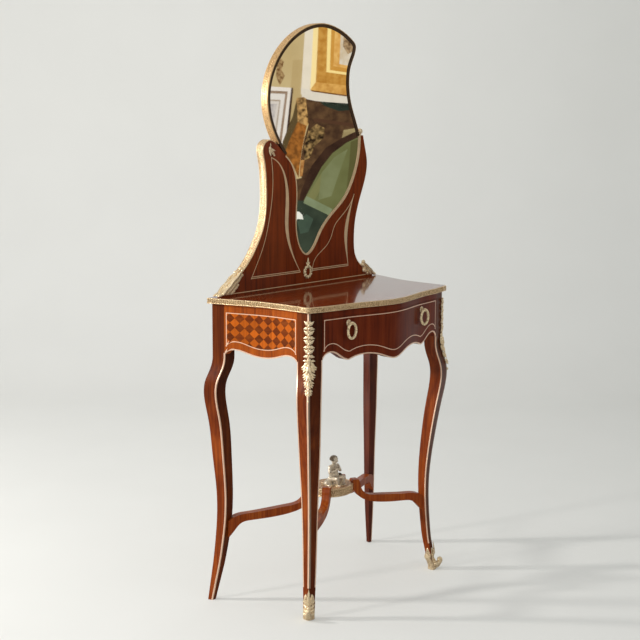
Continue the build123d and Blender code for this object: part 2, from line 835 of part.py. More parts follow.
def ring_handle(side):
    """An oval laurel ring. Its top is a round pin that turns in the boss's eye."""
    centre = Pos(side * HANDLE_X, eye_y(side), HANDLE_Z - RING_HALF_HEIGHT)
    path = Plane.XZ * ring_oval()
    start = Plane(path @ 0, z_dir=path % 0)
    ring = sweep(start * Circle(RING_TUBE_RADIUS), path=path)
    slot = EYE_THICKNESS + 2 * EYE_SLOT_CLEARANCE
    clear = 2 * (EYE_RADIUS + EYE_SLOT_CLEARANCE)
    ring -= Pos(0, 0, RING_HALF_HEIGHT) * Box(slot, clear, clear)
    pin = Pos(0, 0, RING_HALF_HEIGHT) * (Rot(0, 90, 0) * Cylinder(PIN_RADIUS, 2 * slot))
    return centre * (ring + pin)


def mirror_line(half):
    """A closed outline from its right half, which starts and ends on the middle line."""
    return half + [(-x, z) for x, z in reversed(half[1:-1])]


def chute_outline():
    """Half outline of the leaf drop: tiers of paired leaves, an open loop, and a husk to the tip."""
    length = CHUTE_TOP - CHUTE_TIP
    points = [(0, CHUTE_TOP), (CHUTE_WING * 0.7, CHUTE_TOP)]
    for tier in range(CHUTE_TIERS):
        z = CHUTE_TOP - tier * CHUTE_TIER
        points += [(CHUTE_WING, z - 0.25 * CHUTE_TIER), (CHUTE_WING * 0.62, z - CHUTE_TIER)]
    z = CHUTE_TOP - CHUTE_TIERS * CHUTE_TIER
    points += [(CHUTE_WING * 1.05, z - 0.2 * CHUTE_TIER), (CHUTE_WING, z - 1.3 * CHUTE_TIER)]
    points += [(CHUTE_WING * 0.7, CHUTE_TIP + 0.2 * length), (CHUTE_WING * 0.35, CHUTE_TIP + 0.05 * length)]
    return points + [(0, CHUTE_TIP)]


def arris_plane(side):
    """Upright plane through the outer arris of a front post, square to the post's diagonal."""
    corner, side_run, end_run = corner_frame(True, side)
    inwards = (side_run + end_run).normalized()
    return Plane(origin=corner, x_dir=Vector(-inwards.Y, inwards.X), z_dir=inwards * -1)


def chute(side):
    """Gilt leaf chute wrapped over the outer arris, pierced between its tiers of leaves."""
    wings = ((0.0, -CHUTE_THICKNESS), (0.0, CHUTE_WING))
    plane = arris_plane(side)
    up = plane.y_dir.Z
    outline = Polyline(*[(x, z * up) for x, z in mirror_line(chute_outline())], close=True)
    shell = limb(True, side, wings, wings, CHUTE_TIP, CHUTE_TOP) - leg_blank(True, side)
    shell &= extrude(plane * make_face(outline), amount=SAW_DEPTH, both=True)
    for tier in range(CHUTE_TIERS):
        z = CHUTE_TOP - (tier + 0.55) * CHUTE_TIER
        for x in (-1, 1):
            hole = plane * Pos(x * CHUTE_WING * 0.35, z * up) * Ellipse(*CHUTE_HOLE)
            shell -= extrude(hole, amount=SAW_DEPTH, both=True)
    return shell


def sabot(side):
    """Gilt shoe: a sleeve round the ankle with a leafy upper edge, closed below, and a scrolled toe."""
    grown = ((0.0, -SABOT_THICKNESS), (1.0, SABOT_THICKNESS))
    shoe = limb(True, side, grown, grown, 0.0, SABOT_TOP)
    corner, side_run, end_run = corner_frame(True, side)
    out = (side_run + end_run).normalized() * -1
    toe_plane = Plane(origin=corner, x_dir=out, z_dir=Vector(out.Y, -out.X))
    up = toe_plane.y_dir.Z
    ankle = FRONT_LEG_FORM[-1][1]
    outline = Polyline(*[(ankle + x, z * up) for x, z in TOE_FORM], close=True)
    toe = extrude(toe_plane * make_face(outline), amount=TOE_WIDTH / 2, both=True)
    return shoe + toe - leg_blank(True, side, SABOT_SOLE)


def arm_reach(front, side):
    """Direction from the platform to the inner arris of a leg at the height of the arm, and the distance."""
    corner, side_run, end_run = corner_frame(front, side)
    spread = (side_run + end_run).length
    form = FRONT_LEG_FORM if front else BACK_LEG_FORM
    height, reach, width = form[5]
    inner = width * post_width(front) - reach / spread
    ankle = corner + (side_run + end_run) * inner
    line = ankle - Vector(0, PLATFORM_Y)
    return line.normalized(), line.length


def platform_radius(direction):
    """Distance from the platform's centre to the outside of its rim along a direction."""
    a = PLATFORM_HALF_LENGTH + RIM_THICKNESS
    b = PLATFORM_HALF_WIDTH + RIM_THICKNESS
    return 1 / sqrt((direction.X / a) ** 2 + (direction.Y / b) ** 2)


def arm_points(form, shift, level):
    """Points of an arm's outline: distances from a place along it, and heights above a level."""
    return [(shift + x, level + z) for x, z in form]


def stretcher_arm(front, side):
    """A sawn arm: it drops at the leg, runs level, then rises and caps the platform's rim."""
    direction, length = arm_reach(front, side)
    start = platform_radius(direction)
    low = ARM_CENTRE - ARM_THICKNESS / 2
    high = ARM_CENTRE + ARM_THICKNESS / 2
    neck = (start + ARM_CAP_LENGTH, ARM_CAP_TOP - 4 * ARM_CAP_BEVEL)
    under = PLATFORM_TOP - PLATFORM_THICKNESS + 1.0
    hook = start - 2 * ARM_CAP_BEVEL
    top = Spline(*arm_points(ARM_TOP_AT_LEG, length, high), *arm_points(ARM_TOP_AT_RIM, start, high), neck)
    bottom = Spline(
        *arm_points(ARM_UNDER_AT_LEG, length, low), *arm_points(ARM_UNDER_AT_RIM, start, low), (start, under)
    )
    cap = Polyline(
        neck,
        (neck[0] - ARM_CAP_BEVEL, ARM_CAP_TOP - ARM_CAP_BEVEL),
        (neck[0] - 2 * ARM_CAP_BEVEL, ARM_CAP_TOP),
        (hook + ARM_CAP_BEVEL, ARM_CAP_TOP),
        (hook, ARM_CAP_TOP - ARM_CAP_BEVEL),
        (hook, under),
        (start, under),
    )
    across = Vector(direction.Y, -direction.X)
    plane = Plane(origin=(0, PLATFORM_Y, 0), x_dir=direction, z_dir=across)
    outline = make_face([top, bottom, cap, Line(top @ 0, bottom @ 0)])
    arm = extrude(plane * outline, amount=ARM_WIDTH / 2, both=True)
    return arm - leg_blank(front, side) - platform_blank(RIM_THICKNESS, RIM_LIP)


def platform_blank(grow, lip):
    oval = Ellipse(PLATFORM_HALF_LENGTH + grow, PLATFORM_HALF_WIDTH + grow)
    low = PLATFORM_TOP - PLATFORM_THICKNESS
    return Pos(0, PLATFORM_Y, 0) * rise(oval, low, PLATFORM_TOP + lip)


def stretcher_platform():
    return platform_blank(0, 0)


def platform_rim():
    return platform_blank(RIM_THICKNESS, RIM_LIP) - platform_blank(0, RIM_LIP)


def egg(x, y, z, a, b, c):
    return Pos(x, y, z) * scale(Sphere(1.0), by=(a, b, c))


def round_rod(radius, length):
    """A rod with round ends, along Z."""
    rod = Cylinder(radius, length)
    return rod + Pos(0, 0, length / 2) * Sphere(radius) + Pos(0, 0, -length / 2) * Sphere(radius)


def putto():
    """A small child seated on a leafy mound, arms bent in front. Its stud holds it to the platform."""
    h = PUTTO_HEIGHT
    mound = Pos(0, 0, h * 0.09) * Cone(h * 0.34, h * 0.26, h * 0.18)
    parts = [
        egg(0, 0, h * 0.20, h * 0.24, h * 0.20, h * 0.10),
        egg(0, h * 0.04, h * 0.46, h * 0.135, h * 0.11, h * 0.25),
        egg(0, h * 0.02, h * 0.62, h * 0.15, h * 0.10, h * 0.09),
        egg(0, 0, h * 0.86, h * 0.105, h * 0.115, h * 0.13),
        egg(0, h * 0.01, h * 0.72, h * 0.05, h * 0.05, h * 0.08),
    ]
    figure = mound
    for part in parts:
        figure += part
    for side in (-1, 1):
        upper = Pos(side * h * 0.17, -h * 0.02, h * 0.53) * Rot(12, side * -22, 0)
        figure += upper * round_rod(h * 0.045, h * 0.2)
        lower = Pos(side * h * 0.15, -h * 0.11, h * 0.40) * Rot(68, side * 25, 0)
        figure += lower * round_rod(h * 0.04, h * 0.2)
        thigh = Pos(side * h * 0.11, -h * 0.12, h * 0.27) * Rot(78, 0, side * 12)
        figure += thigh * round_rod(h * 0.062, h * 0.26)
        shin = Pos(side * h * 0.12, -h * 0.24, h * 0.17) * Rot(14, 0, 0)
        figure += shin * round_rod(h * 0.045, h * 0.2)
    figure = figure & (Pos(0, 0, h / 2) * Box(2 * h, 2 * h, h))
    return Pos(0, PLATFORM_Y, PLATFORM_TOP) * figure


def on_board(point):
    """A point of the board's elevation, from hundredths of its width and of the mirror's rise."""
    return (point[0] / 100 * BOARD_WIDTH, TABLE_HEIGHT + point[1] / 100 * MIRROR_RISE)


@cache
def board_curve(points):
    return Spline(*[on_board(point) for point in points])


def opening_curve():
    return board_curve(OPENING)


def flank_curve(side):
    return board_curve(LEFT_FLANK if side < 0 else RIGHT_FLANK)


@cache
def board_face():
    left = flank_curve(-1)
    right = flank_curve(1)
    opening = opening_curve()
    foot_left = on_board((LEFT_FLANK[0][0], 0))
    foot_right = on_board((RIGHT_FLANK[-1][0], 0))
    edges = [left, opening, Line(opening @ 1, right @ 0), right]
    edges.append(Polyline(right @ 1, foot_right, foot_left, left @ 0))
    return make_face(edges)


def raised(face):
    return Plane.XZ * face


def free_edge():
    """The mirror's edge above the board: up its hollow flank, and over the crown."""
    return board_curve(MIRROR_FLANK)


def mirror_face():
    return make_face([opening_curve(), free_edge()])


@cache
def opening_fillet():
    """The brass edge of the opening, where the board meets the glass."""
    strip = ribbon(opening_curve(), -OPENING_FILLET)
    return drive(raised(strip & board_face()), BOARD_FRONT_Y, BOARD_FRONT_Y + OPENING_FILLET_DEPTH)


def panel_line(thin, broad, side):
    """Brass round one panel of the board: a thin line, a broad one that tapers, and a double line below."""
    one = board_curve(thin)
    two = board_curve(broad)
    ends = (one @ 1, two @ 1) if side < 0 else (two @ 1, one @ 1)
    panel = make_face([one, two, Line(*ends)])
    low, high = ends[0].Y + 2 * STRING_WIDTH, ends[0].Y + 3 * STRING_WIDTH
    upper = Pos(0, (low + high) / 2) * Rectangle(BOARD_WIDTH, high - low) & panel
    lower = Pos(0, low - 1.5 * STRING_WIDTH) * Rectangle(BOARD_WIDTH, STRING_WIDTH) & panel
    swell = -side * BROAD_LINE_SWELL
    return ribbon(one, -side * STRING_WIDTH) + ribbon(two, -side * STRING_WIDTH, swell) + upper + lower


@cache
def board_lines():
    """The stringing of both panels, and the line along the board's foot."""
    foot = TABLE_HEIGHT + BASE_LINE_RISE
    half = BOARD_WIDTH / 2 - STRING_MARGIN
    base = Pos(0, foot + STRING_WIDTH / 2) * Rectangle(2 * half, STRING_WIDTH)
    left = panel_line(LEFT_PANEL_THIN, LEFT_PANEL_BROAD, -1)
    right = panel_line(RIGHT_PANEL_THIN, RIGHT_PANEL_BROAD, 1)
    return left, right, base


@cache
def board_inlays():
    return [drive(raised(line), BOARD_FRONT_Y, BOARD_FRONT_Y + STRING_DEPTH) for line in board_lines()]


def board_stringing():
    return Compound([solid for inlay in board_inlays() for solid in inlay.solids()])


def mirror_board():
    body = drive(raised(board_face()), BOARD_FRONT_Y, BOARD_BACK_Y)
    body -= opening_fillet()
    for inlay in board_inlays():
        body -= inlay
    return body


@cache
def board_band(side):
    """Gilt band on one flank of the board, between its corner mount and the head of the arm."""
    flank = LEFT_FLANK if side < 0 else RIGHT_FLANK
    foot = on_board(flank[1] if side < 0 else flank[-2])
    head = on_board(flank[-2] if side < 0 else flank[0])
    low, high = foot[1], TABLE_HEIGHT + MIRROR_RISE
    window = Pos(head[0] + side * FAR / 2, (low + high) / 2) * Rectangle(FAR, high - low)
    if side > 0:
        window = Pos(FAR / 2, (low + head[1]) / 2) * Rectangle(FAR, head[1] - low)
    return drive(raised(ribbon(flank_curve(side), BOARD_BAND) & window), BOARD_FRONT_Y, BOARD_BACK_Y)


def leaf_mount(side):
    """Gilt leaves that lie along the foot of one flank and wrap the end of the board."""
    foot = (LEFT_FLANK[0], LEFT_FLANK[1]) if side < 0 else (RIGHT_FLANK[-1], RIGHT_FLANK[-2])
    low, high = Vector(*on_board(foot[0])), Vector(*on_board(foot[1]))
    along = (high - low).normalized()
    length = (high - low).length + LEAF_OVERLAP
    base = Vector(low.X, TABLE_HEIGHT)
    points = [base, base + Vector(side * 14, 0), base + Vector(side * 18, 7)]
    for share, height in LEAF_LOBES:
        points.append(base + along * (share * length) + Vector(side * 0.5, 1).normalized() * height)
    outline = Polyline(*[(point.X, point.Y) for point in points], close=True)
    leaves = drive(raised(make_face(outline)), BOARD_FRONT_Y - LEAF_PROUD, BOARD_BACK_Y)
    return leaves - drive(raised(board_face()), BOARD_FRONT_Y, BOARD_BACK_Y) - board_band(side)


def crest_mount():
    """A bud between two leaves at the head of the tall arm."""
    face = scale(Circle(1.0), by=CREST_BUD)
    for turn in (-CREST_LEAF_TURN, CREST_LEAF_TURN):
        face += Rot(0, 0, turn) * Pos(0, CREST_LEAF_SHIFT) * scale(Circle(1.0), by=CREST_LEAF)
    face = Pos(*on_board(CREST_PLACE)) * Rot(0, 0, CREST_TURN) * face
    return drive(raised(face), BOARD_FRONT_Y - CREST_PROUD, BOARD_FRONT_Y)


def wreath_mount():
    """A small laurel wreath with a bud above it, under the opening."""
    x, z = on_board(WREATH_PLACE)
    ring = Rot(90, 0, 0) * Torus(WREATH_RADIUS, WREATH_TUBE)
    bud = Pos(0, 0, WREATH_BUD_RISE) * scale(Sphere(1.0), by=WREATH_BUD)
    mount = Pos(x, BOARD_FRONT_Y, z) * (ring + bud)
    return mount & (Pos(0, BOARD_FRONT_Y - FAR / 2, FAR) * Box(FAR, FAR, 2 * FAR))


def ball_finial():
    tip = on_board(RIGHT_FLANK[0])
    inner = on_board(OPENING[-1])
    x = (tip[0] + inner[0]) / 2
    y = (BOARD_FRONT_Y + BOARD_BACK_Y) / 2
    neck = Pos(0, 0, FINIAL_NECK / 2) * Cylinder(FINIAL_RADIUS * 0.6, FINIAL_NECK)
    ball = Pos(0, 0, FINIAL_HEIGHT - FINIAL_RADIUS) * Sphere(FINIAL_RADIUS)
    return Pos(x, y, tip[1]) * (neck + ball)


def mirror_back():
    start = BOARD_FRONT_Y + GLASS_SETBACK + GLASS_THICKNESS
    return drive(raised(mirror_face()), start, BOARD_BACK_Y)


def mirror_glass():
    start = BOARD_FRONT_Y + GLASS_SETBACK
    return drive(raised(mirror_face()), start, start + GLASS_THICKNESS)


def mirror_rim():
    """Dark moulding that holds the glass round the free part of the mirror."""
    ring = ribbon(free_edge(), RIM_WIDTH)
    return drive(raised(ring), BOARD_FRONT_Y + MIRROR_SETBACK, BOARD_FRONT_Y + GLASS_SETBACK)


def mirror_band():
    """Gilt band on the free edge of the mirror, from the ball finial over the crown to the crest mount."""
    strip = ribbon(free_edge(), -MIRROR_BAND)
    left_start = on_board(MIRROR_FLANK[-1])[1] + MIRROR_BAND_GAP
    right_start = on_board(OPENING[-1])[1] + FINIAL_HEIGHT
    for side, low in ((-1, left_start), (1, right_start)):
        strip -= Pos(side * FAR / 2, (low + TABLE_HEIGHT) / 2) * Rectangle(FAR, low - TABLE_HEIGHT)
    return drive(raised(strip), BOARD_FRONT_Y + MIRROR_SETBACK, BOARD_BACK_Y)


def batten_blank(batten):
    left, right, z = batten
    blank = Box(right - left, BATTEN_THICKNESS, BATTEN_WIDTH)
    return Pos((left + right) / 2, BOARD_BACK_Y + BATTEN_THICKNESS / 2, z) * blank


@cache
def batten_screws_in(batten):
    left, right, z = batten
    screws = []
    for x in (left + SCREW_INSET, right - SCREW_INSET):
        for drop in (-0.25, 0.25):
            shank = Rot(90, 0, 0) * Cylinder(SCREW_RADIUS, SCREW_LENGTH)
            y = BOARD_BACK_Y + BATTEN_THICKNESS - SCREW_LENGTH / 2
            head = Rot(90, 0, 0) * Cylinder(SCREW_HEAD_RADIUS, SCREW_HEAD_THICKNESS)
            head = Pos(0, (SCREW_LENGTH - SCREW_HEAD_THICKNESS) / 2, 0) * head
            screws.append(Pos(x, y, z + drop * BATTEN_WIDTH) * (shank + head))
    return screws


def batten_screws():
    return Compound([screw.solid() for batten in BATTEN_LENGTHS for screw in batten_screws_in(batten)])


def mirror_battens():
    battens = []
    for batten in BATTEN_LENGTHS:
        body = batten_blank(batten)
        for screw in batten_screws_in(batten):
            body -= screw
        battens.append(body.solid())
    return Compound(battens)


def without_screws(body):
    for batten in BATTEN_LENGTHS:
        for screw in batten_screws_in(batten):
            body -= screw
    return body


SIDES = {"left": -1, "right": 1}
nodes = {}
for name, side in SIDES.items():
    nodes[f"leg_front_{name}"] = leg(True, side)
    nodes[f"leg_back_{name}"] = leg(False, side)
    nodes[f"side_fillet_{name}"] = side_fillet(side)
    nodes[f"arris_strip_{name}"] = arris_strip(side)
    nodes[f"chute_{name}"] = chute(side)
    nodes[f"sabot_{name}"] = sabot(side)
    nodes[f"side_rail_{name}"] = side_rail(side)
    nodes[f"stringing_{name}"] = side_stringing(side)
    nodes[f"drawer_side_{name}"] = drawer_side(side)
    nodes[f"handle_boss_{name}"] = handle_boss(side)
    nodes[f"ring_handle_{name}"] = ring_handle(side)
    nodes[f"stretcher_arm_front_{name}"] = stretcher_arm(True, side)
    nodes[f"stretcher_arm_back_{name}"] = stretcher_arm(False, side)
    nodes[f"board_band_{name}"] = board_band(side)
    nodes[f"leaf_mount_{name}"] = leaf_mount(side)
nodes["front_leg_fillets"] = Compound([front_fillet_on_leg(side).solid() for side in (-1, 1)])
nodes["back_rail"] = back_rail()
nodes["front_top_rail"] = front_top_rail()
nodes["front_bearer_rail"] = front_bearer_rail()
nodes["drawer_runners"] = drawer_runners()
nodes["drawer_kickers"] = drawer_kickers()
nodes["tabletop"] = tabletop()
nodes["tabletop_band"] = tabletop_band()
nodes["drawer_front"] = drawer_front()
nodes["drawer_back"] = drawer_back()
nodes["drawer_bottom"] = bottom_board()
nodes["drawer_fillet"] = drawer_fillet()
nodes["stringing_front"] = front_stringing()
nodes["handle_nuts"] = handle_nuts()
nodes["stretcher_platform"] = stretcher_platform()
nodes["platform_rim"] = platform_rim()
nodes["putto"] = putto()
nodes["mirror_board"] = without_screws(mirror_board())
nodes["opening_fillet"] = opening_fillet()
nodes["board_stringing"] = board_stringing()
nodes["crest_mount"] = crest_mount()
nodes["wreath_mount"] = wreath_mount()
nodes["ball_finial"] = ball_finial()
nodes["mirror_back"] = without_screws(mirror_back())
nodes["mirror_glass"] = mirror_glass()
nodes["mirror_rim"] = mirror_rim()
nodes["mirror_band"] = mirror_band()
nodes["mirror_battens"] = mirror_battens()
nodes["batten_screws"] = batten_screws()

os.makedirs("parts", exist_ok=True)
for name, shape in nodes.items():
    export_step(shape, f"parts/{name}.step")
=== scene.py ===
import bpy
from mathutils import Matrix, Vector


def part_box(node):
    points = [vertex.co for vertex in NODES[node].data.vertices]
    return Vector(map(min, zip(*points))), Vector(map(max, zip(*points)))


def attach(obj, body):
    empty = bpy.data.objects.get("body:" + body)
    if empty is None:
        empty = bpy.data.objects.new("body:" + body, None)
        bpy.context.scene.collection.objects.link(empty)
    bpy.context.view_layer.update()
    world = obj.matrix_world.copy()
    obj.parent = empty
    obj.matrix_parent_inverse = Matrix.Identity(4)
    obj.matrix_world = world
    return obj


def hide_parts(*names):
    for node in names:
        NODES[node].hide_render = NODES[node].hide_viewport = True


bl_info = {
    "name": "Poudreuse Dressing Table",
    "version": (1, 0, 0),
    "blender": (4, 5, 0),
    "location": "View3D > Sidebar > Poudreuse",
    "description": "Gilt mounts, veneers, mirror and studio for a serpentine dressing table",
    "category": "Add Mesh",
}

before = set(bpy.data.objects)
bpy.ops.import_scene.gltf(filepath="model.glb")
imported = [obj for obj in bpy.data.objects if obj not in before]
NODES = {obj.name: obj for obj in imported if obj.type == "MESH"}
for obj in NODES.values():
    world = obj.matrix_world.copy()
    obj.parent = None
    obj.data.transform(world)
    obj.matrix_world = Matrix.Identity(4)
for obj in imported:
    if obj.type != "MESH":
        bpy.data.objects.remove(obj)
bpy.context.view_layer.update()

from math import cos, pi, radians, sin

import bmesh
import bpy
import numpy as np
from bpy.props import FloatProperty, FloatVectorProperty, PointerProperty
from mathutils import Vector

MM = 0.001
SIDES = (("left", -1), ("right", 1))

# Places shared with the solids, in millimetres
TOP_Z = 770.0
TOP_THICKNESS = 14.0
BAND_PROUD = 3.0
CLASP_PROUD = 4.4
CLASP_HALF = 24.0
BOARD_FRONT_Y, BOARD_BACK_Y = (corner.y * 1000 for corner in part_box("mirror_board"))
BOARD_WIDTH = 566.0
MIRROR_RISE = 668.0
FRONT_CORNER = (259.0, -114.0)
FRONT_SKEW = radians(15.0)
CHUTE_TOP = 738.0
CHUTE_TIER = 22.2
HUSK_STEP = 9.4
SABOT_TOP = 76.0
HANDLE = (142.0, -147.64, 722.0)
RING_HALF = (14.5, 18.5)
DOT_PITCH = 6.6
PLATFORM = (0.0, 38.0, 259.0)
PLATFORM_HALF = (58.0, 48.0)
RIM_HEIGHT = 22.0

# Outlines of the board and the mirror, in hundredths of the board's width and of the mirror's rise
LEFT_FLANK = (
    (-50.0, 0.9), (-42.2, 6.1), (-35.9, 10.6), (-29.2, 17.8), (-24.9, 25.1), (-23.3, 32.9),
    (-23.3, 40.4), (-24.6, 49.4), (-24.9, 54.6), (-21.7, 56.4), (-17.3, 55.1), (-11.0, 50.7),
)
RIGHT_FLANK = (
    (42.4, 57.2), (44.0, 52.1), (45.4, 46.1), (43.8, 39.4), (39.9, 31.4), (36.9, 23.2),
    (36.2, 15.7), (37.3, 9.4), (40.3, 5.8), (50.0, 0.9),
)
MIRROR_FLANK = (
    (39.9, 57.2), (37.1, 63.3), (33.6, 70.4), (32.2, 77.8), (33.4, 84.6), (36.6, 90.4), (36.8, 92.2),
    (34.5, 94.3), (26.5, 97.9), (15.0, 100.0), (3.5, 98.5), (-8.0, 93.4), (-16.8, 85.6),
    (-21.6, 76.3), (-21.7, 67.4), (-18.0, 59.1), (-11.0, 50.7),
)


# ---------------------------------------------------------------- shapes

def stacked(*columns):
    """Points, or faces, from columns whose shapes fit each other."""
    return np.stack(np.broadcast_arrays(*columns), -1)


def circle(count):
    """Evenly spaced angles round a full turn, as a row."""
    return (np.arange(count) / count * 2 * pi)[None, :]


def bell(distance, width):
    return np.exp(-((distance / width) ** 2))


def ridge(distance, width):
    """One at nought, falling straight to nought at the width."""
    return np.clip(1 - np.abs(distance) / width, 0, 1)


def unit(vectors):
    return vectors / np.maximum(np.linalg.norm(vectors, axis=-1, keepdims=True), 1e-9)


def pod(points):
    """Closed skin over rings of points (..., rings, around, 3): the rings are joined by quads, and each end
    is closed by a fan to the mean of its ring."""
    lead, (rings, around) = points.shape[:-3], points.shape[-3:-1]
    ends = points[..., (0, -1), :, :].mean(-2)
    body = points.reshape(*lead, rings * around, 3)
    verts = np.concatenate([ends[..., :1, :], body, ends[..., 1:, :]], -2)
    ring = np.arange(around)
    after = (ring + 1) % around
    start = 1 + np.arange(rings - 1)[:, None] * around
    quads = stacked(start + ring, start + after, start + around + after, start + around + ring)
    last = 1 + rings * around
    top = last - around
    fans = np.concatenate([stacked(0, 1 + after, 1 + ring), stacked(last, top + ring, top + after)])
    return verts, quads.reshape(-1, 4), fans


def hoop(points):
    """Closed skin over a loop of rings (rings, around, 3): both ways round join up."""
    rings, around = points.shape[:2]
    row, column = np.arange(rings)[:, None] * around, np.arange(around)
    below, beside = np.roll(row, -1), np.roll(column, -1)
    quads = stacked(row + column, row + beside, below + beside, below + column)
    return points.reshape(-1, 3), quads.reshape(-1, 4), np.zeros((0, 3), int)


def add_object(name, points, faces, finish):
    """An object from lists of points, in metres, and faces."""
    mesh = bpy.data.meshes.new(name)
    mesh.from_pydata(points, [], faces)
    mesh.materials.append(finish)
    made = bpy.data.objects.new(name, mesh)
    bpy.context.scene.collection.objects.link(made)
    return made


def add_piece(name, shapes, hides=(), finish="gilt_bronze_chased", body="frame"):
    """One object from many closed skins. Arrays of copies are flattened, and face numbers move on by the
    number of points in each copy. Millimetres become metres here."""
    points, faces, count = [], [], 0
    for verts, quads, fans in shapes:
        size = verts.shape[-2]
        copies = verts.size // (3 * size)
        shift = count + size * np.arange(copies)[:, None, None]
        points.append(verts.reshape(-1, 3))
        faces += (quads + shift).reshape(-1, 4).tolist() + (fans + shift).reshape(-1, 3).tolist()
        count += size * copies
    piece = add_object(name, (np.concatenate(points) * MM).tolist(), faces, gilt(finish))
    shell = bmesh.new()
    shell.from_mesh(piece.data)
    bmesh.ops.recalc_face_normals(shell, faces=shell.faces)
    shell.to_mesh(piece.data)
    shell.free()
    piece.data.shade_smooth()
    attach(piece, body)
    if hides:
        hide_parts(*hides)
    return piece


def lengths(path):
    """Distance along a path at each of its points."""
    return np.concatenate([[0], np.cumsum(np.linalg.norm(np.diff(path, axis=0), axis=1))])


def read_along(distance, run, path):
    """A path's points at given distances along it."""
    return np.stack([np.interp(distance, run, column) for column in path.T], -1)


def respaced(path, count):
    """The same path with its points evenly spaced by length."""
    run = lengths(path)
    return read_along(np.linspace(0, run[-1], count), run, path)


def through(points, count):
    """Points evenly spaced by length on the cubic curve that passes through the given ones. Its slopes solve
    the usual three-term rule for a smooth second derivative, with end slopes from the cubic through the four
    nearest points."""
    points = np.asarray(points, float)
    knots = lengths(points)
    gaps = np.diff(knots)
    chords = np.diff(points, axis=0) / gaps[:, None]
    size = len(points)
    rule = np.zeros((size, size))
    rule[0, 0] = rule[-1, -1] = 1
    inner = np.arange(1, size - 1)
    rule[inner, inner - 1] = gaps[1:]
    rule[inner, inner] = 2 * (gaps[:-1] + gaps[1:])
    rule[inner, inner + 1] = gaps[:-1]
    right = np.zeros_like(points)
    right[1:-1] = 3 * (gaps[1:, None] * chords[:-1] + gaps[:-1, None] * chords[1:])
    for end, pick in ((0, slice(0, 4)), (-1, slice(-4, None))):
        right[end] = np.polyfit(knots[pick] - knots[end], points[pick], 3)[2]
    slopes = np.linalg.solve(rule, right)
    place = np.linspace(0, knots[-1], 40 * size)
    cell = np.clip(np.searchsorted(knots, place, side="right") - 1, 0, size - 2)
    gap = gaps[cell][:, None]
    t = (place - knots[cell])[:, None] / gap
    dense = (
        (2 * t**3 - 3 * t**2 + 1) * points[cell] + (t**3 - 2 * t**2 + t) * gap * slopes[cell]
        + (3 * t**2 - 2 * t**3) * points[cell + 1] + (t**3 - t**2) * gap * slopes[cell + 1]
    )
    return respaced(dense, count)


def moulding(path, across, outward, width, proud, relief, columns=22, closed=False):
    """A strip carried along a path: its face is the path plus across times t plus outward times the relief
    height at (distance along, t), and its back lies on the path's own surface."""
    t = np.linspace(0, 1, columns)[None, :]
    edge = np.clip(np.minimum(t, 1 - t) * 12, 0, 1) ** 0.5
    height = proud * edge * relief(lengths(path)[:, None], t)
    path, outward = path[:, None], outward[:, None]
    face = path + across * (t * width)[..., None] + outward * height[..., None]
    back = path + across * (np.array([[1.0, 0.5, 0.0]]) * width)[..., None] - outward * 0.05
    return (hoop if closed else pod)(np.concatenate([face, back], 1))


def leaf(length, width, thick, curl=0.0, lobes=3, rings=9, around=10):
    """A lobed leaf lying along +v: half width is a sine bulge with scalloped edges, the upper face is a
    rounded crown with a sunk midrib, and the tip lifts by the square of the distance. Rows are (across,
    along, height)."""
    v = np.linspace(0.02, 0.98, rings)[:, None]
    turn = circle(around)
    bulge = np.sin(pi * v**0.75) ** 0.8
    half = width / 2 * bulge * (0.85 + 0.15 * np.cos(2 * pi * lobes * v))
    u = np.cos(turn)
    crown = np.sqrt(np.clip(1 - u**2, 0, 1))
    upper = thick * crown * (1 - 0.45 * bell(u, 0.22)) * (0.35 + 0.65 * bulge)
    height = np.where(np.sin(turn) >= 0, upper, -0.35 * thick * crown) + curl * v**2
    return stacked(half * u, length * v, height)


def finger(length, width, thick, rings=24, around=16):
    """A blunt, finger-like leaf along +v: width and height both follow the fourth-power round of the distance
    from its middle, the back has a groove, and slow waves along it give knuckles."""
    v = np.linspace(0.01, 0.99, rings)[:, None]
    turn = circle(around)
    blunt = np.sqrt(1 - (2 * v - 1) ** 4)
    u = np.cos(turn)
    crown = np.sqrt(np.clip(1 - u**2, 0, 1))
    groove = 1 - 0.4 * bell(u, 0.24)
    knuckle = 1 + 0.16 * np.cos(v * 5.5 * pi)
    height = np.where(np.sin(turn) >= 0, thick * crown * groove * knuckle, -0.4 * thick * crown) * blunt
    return stacked(width / 2 * blunt * (1.08 - 0.3 * v) * u, length * v, height)


def bead(radius_x, radius_y, radius_z, rings=7, around=10):
    """An ellipsoid: rings at equal steps of latitude."""
    tilt = np.linspace(-0.46 * pi, 0.46 * pi, rings)[:, None]
    turn = circle(around)
    return stacked(radius_x * np.cos(tilt) * np.cos(turn), radius_y * np.sin(tilt),
                   radius_z * np.cos(tilt) * np.sin(turn))


def limb(start, end, start_radius, end_radius):
    """A round-ended rod between two points: radius runs evenly from one end to the other, and falls to
    nothing over the round ends."""
    start, end = np.asarray(start, float), np.asarray(end, float)
    axis = unit(end - start)
    side = unit(np.cross(axis, (0.3, 0.9, 0.2)))
    length = np.linalg.norm(end - start)
    t = np.linspace(0, 1, 9)[1:-1]
    cap = np.linspace(0.08, 0.5, 4) * pi
    along = np.concatenate([-start_radius * np.cos(cap), t * length, (length + end_radius * np.cos(cap))[::-1]])
    radius = np.concatenate([start_radius * np.sin(cap), start_radius + (end_radius - start_radius) * t,
                             (end_radius * np.sin(cap))[::-1]])
    turn = circle(12).T
    ring = np.cos(turn) * side + np.sin(turn) * np.cross(axis, side)
    return start + along[:, None, None] * axis + radius[:, None, None] * ring


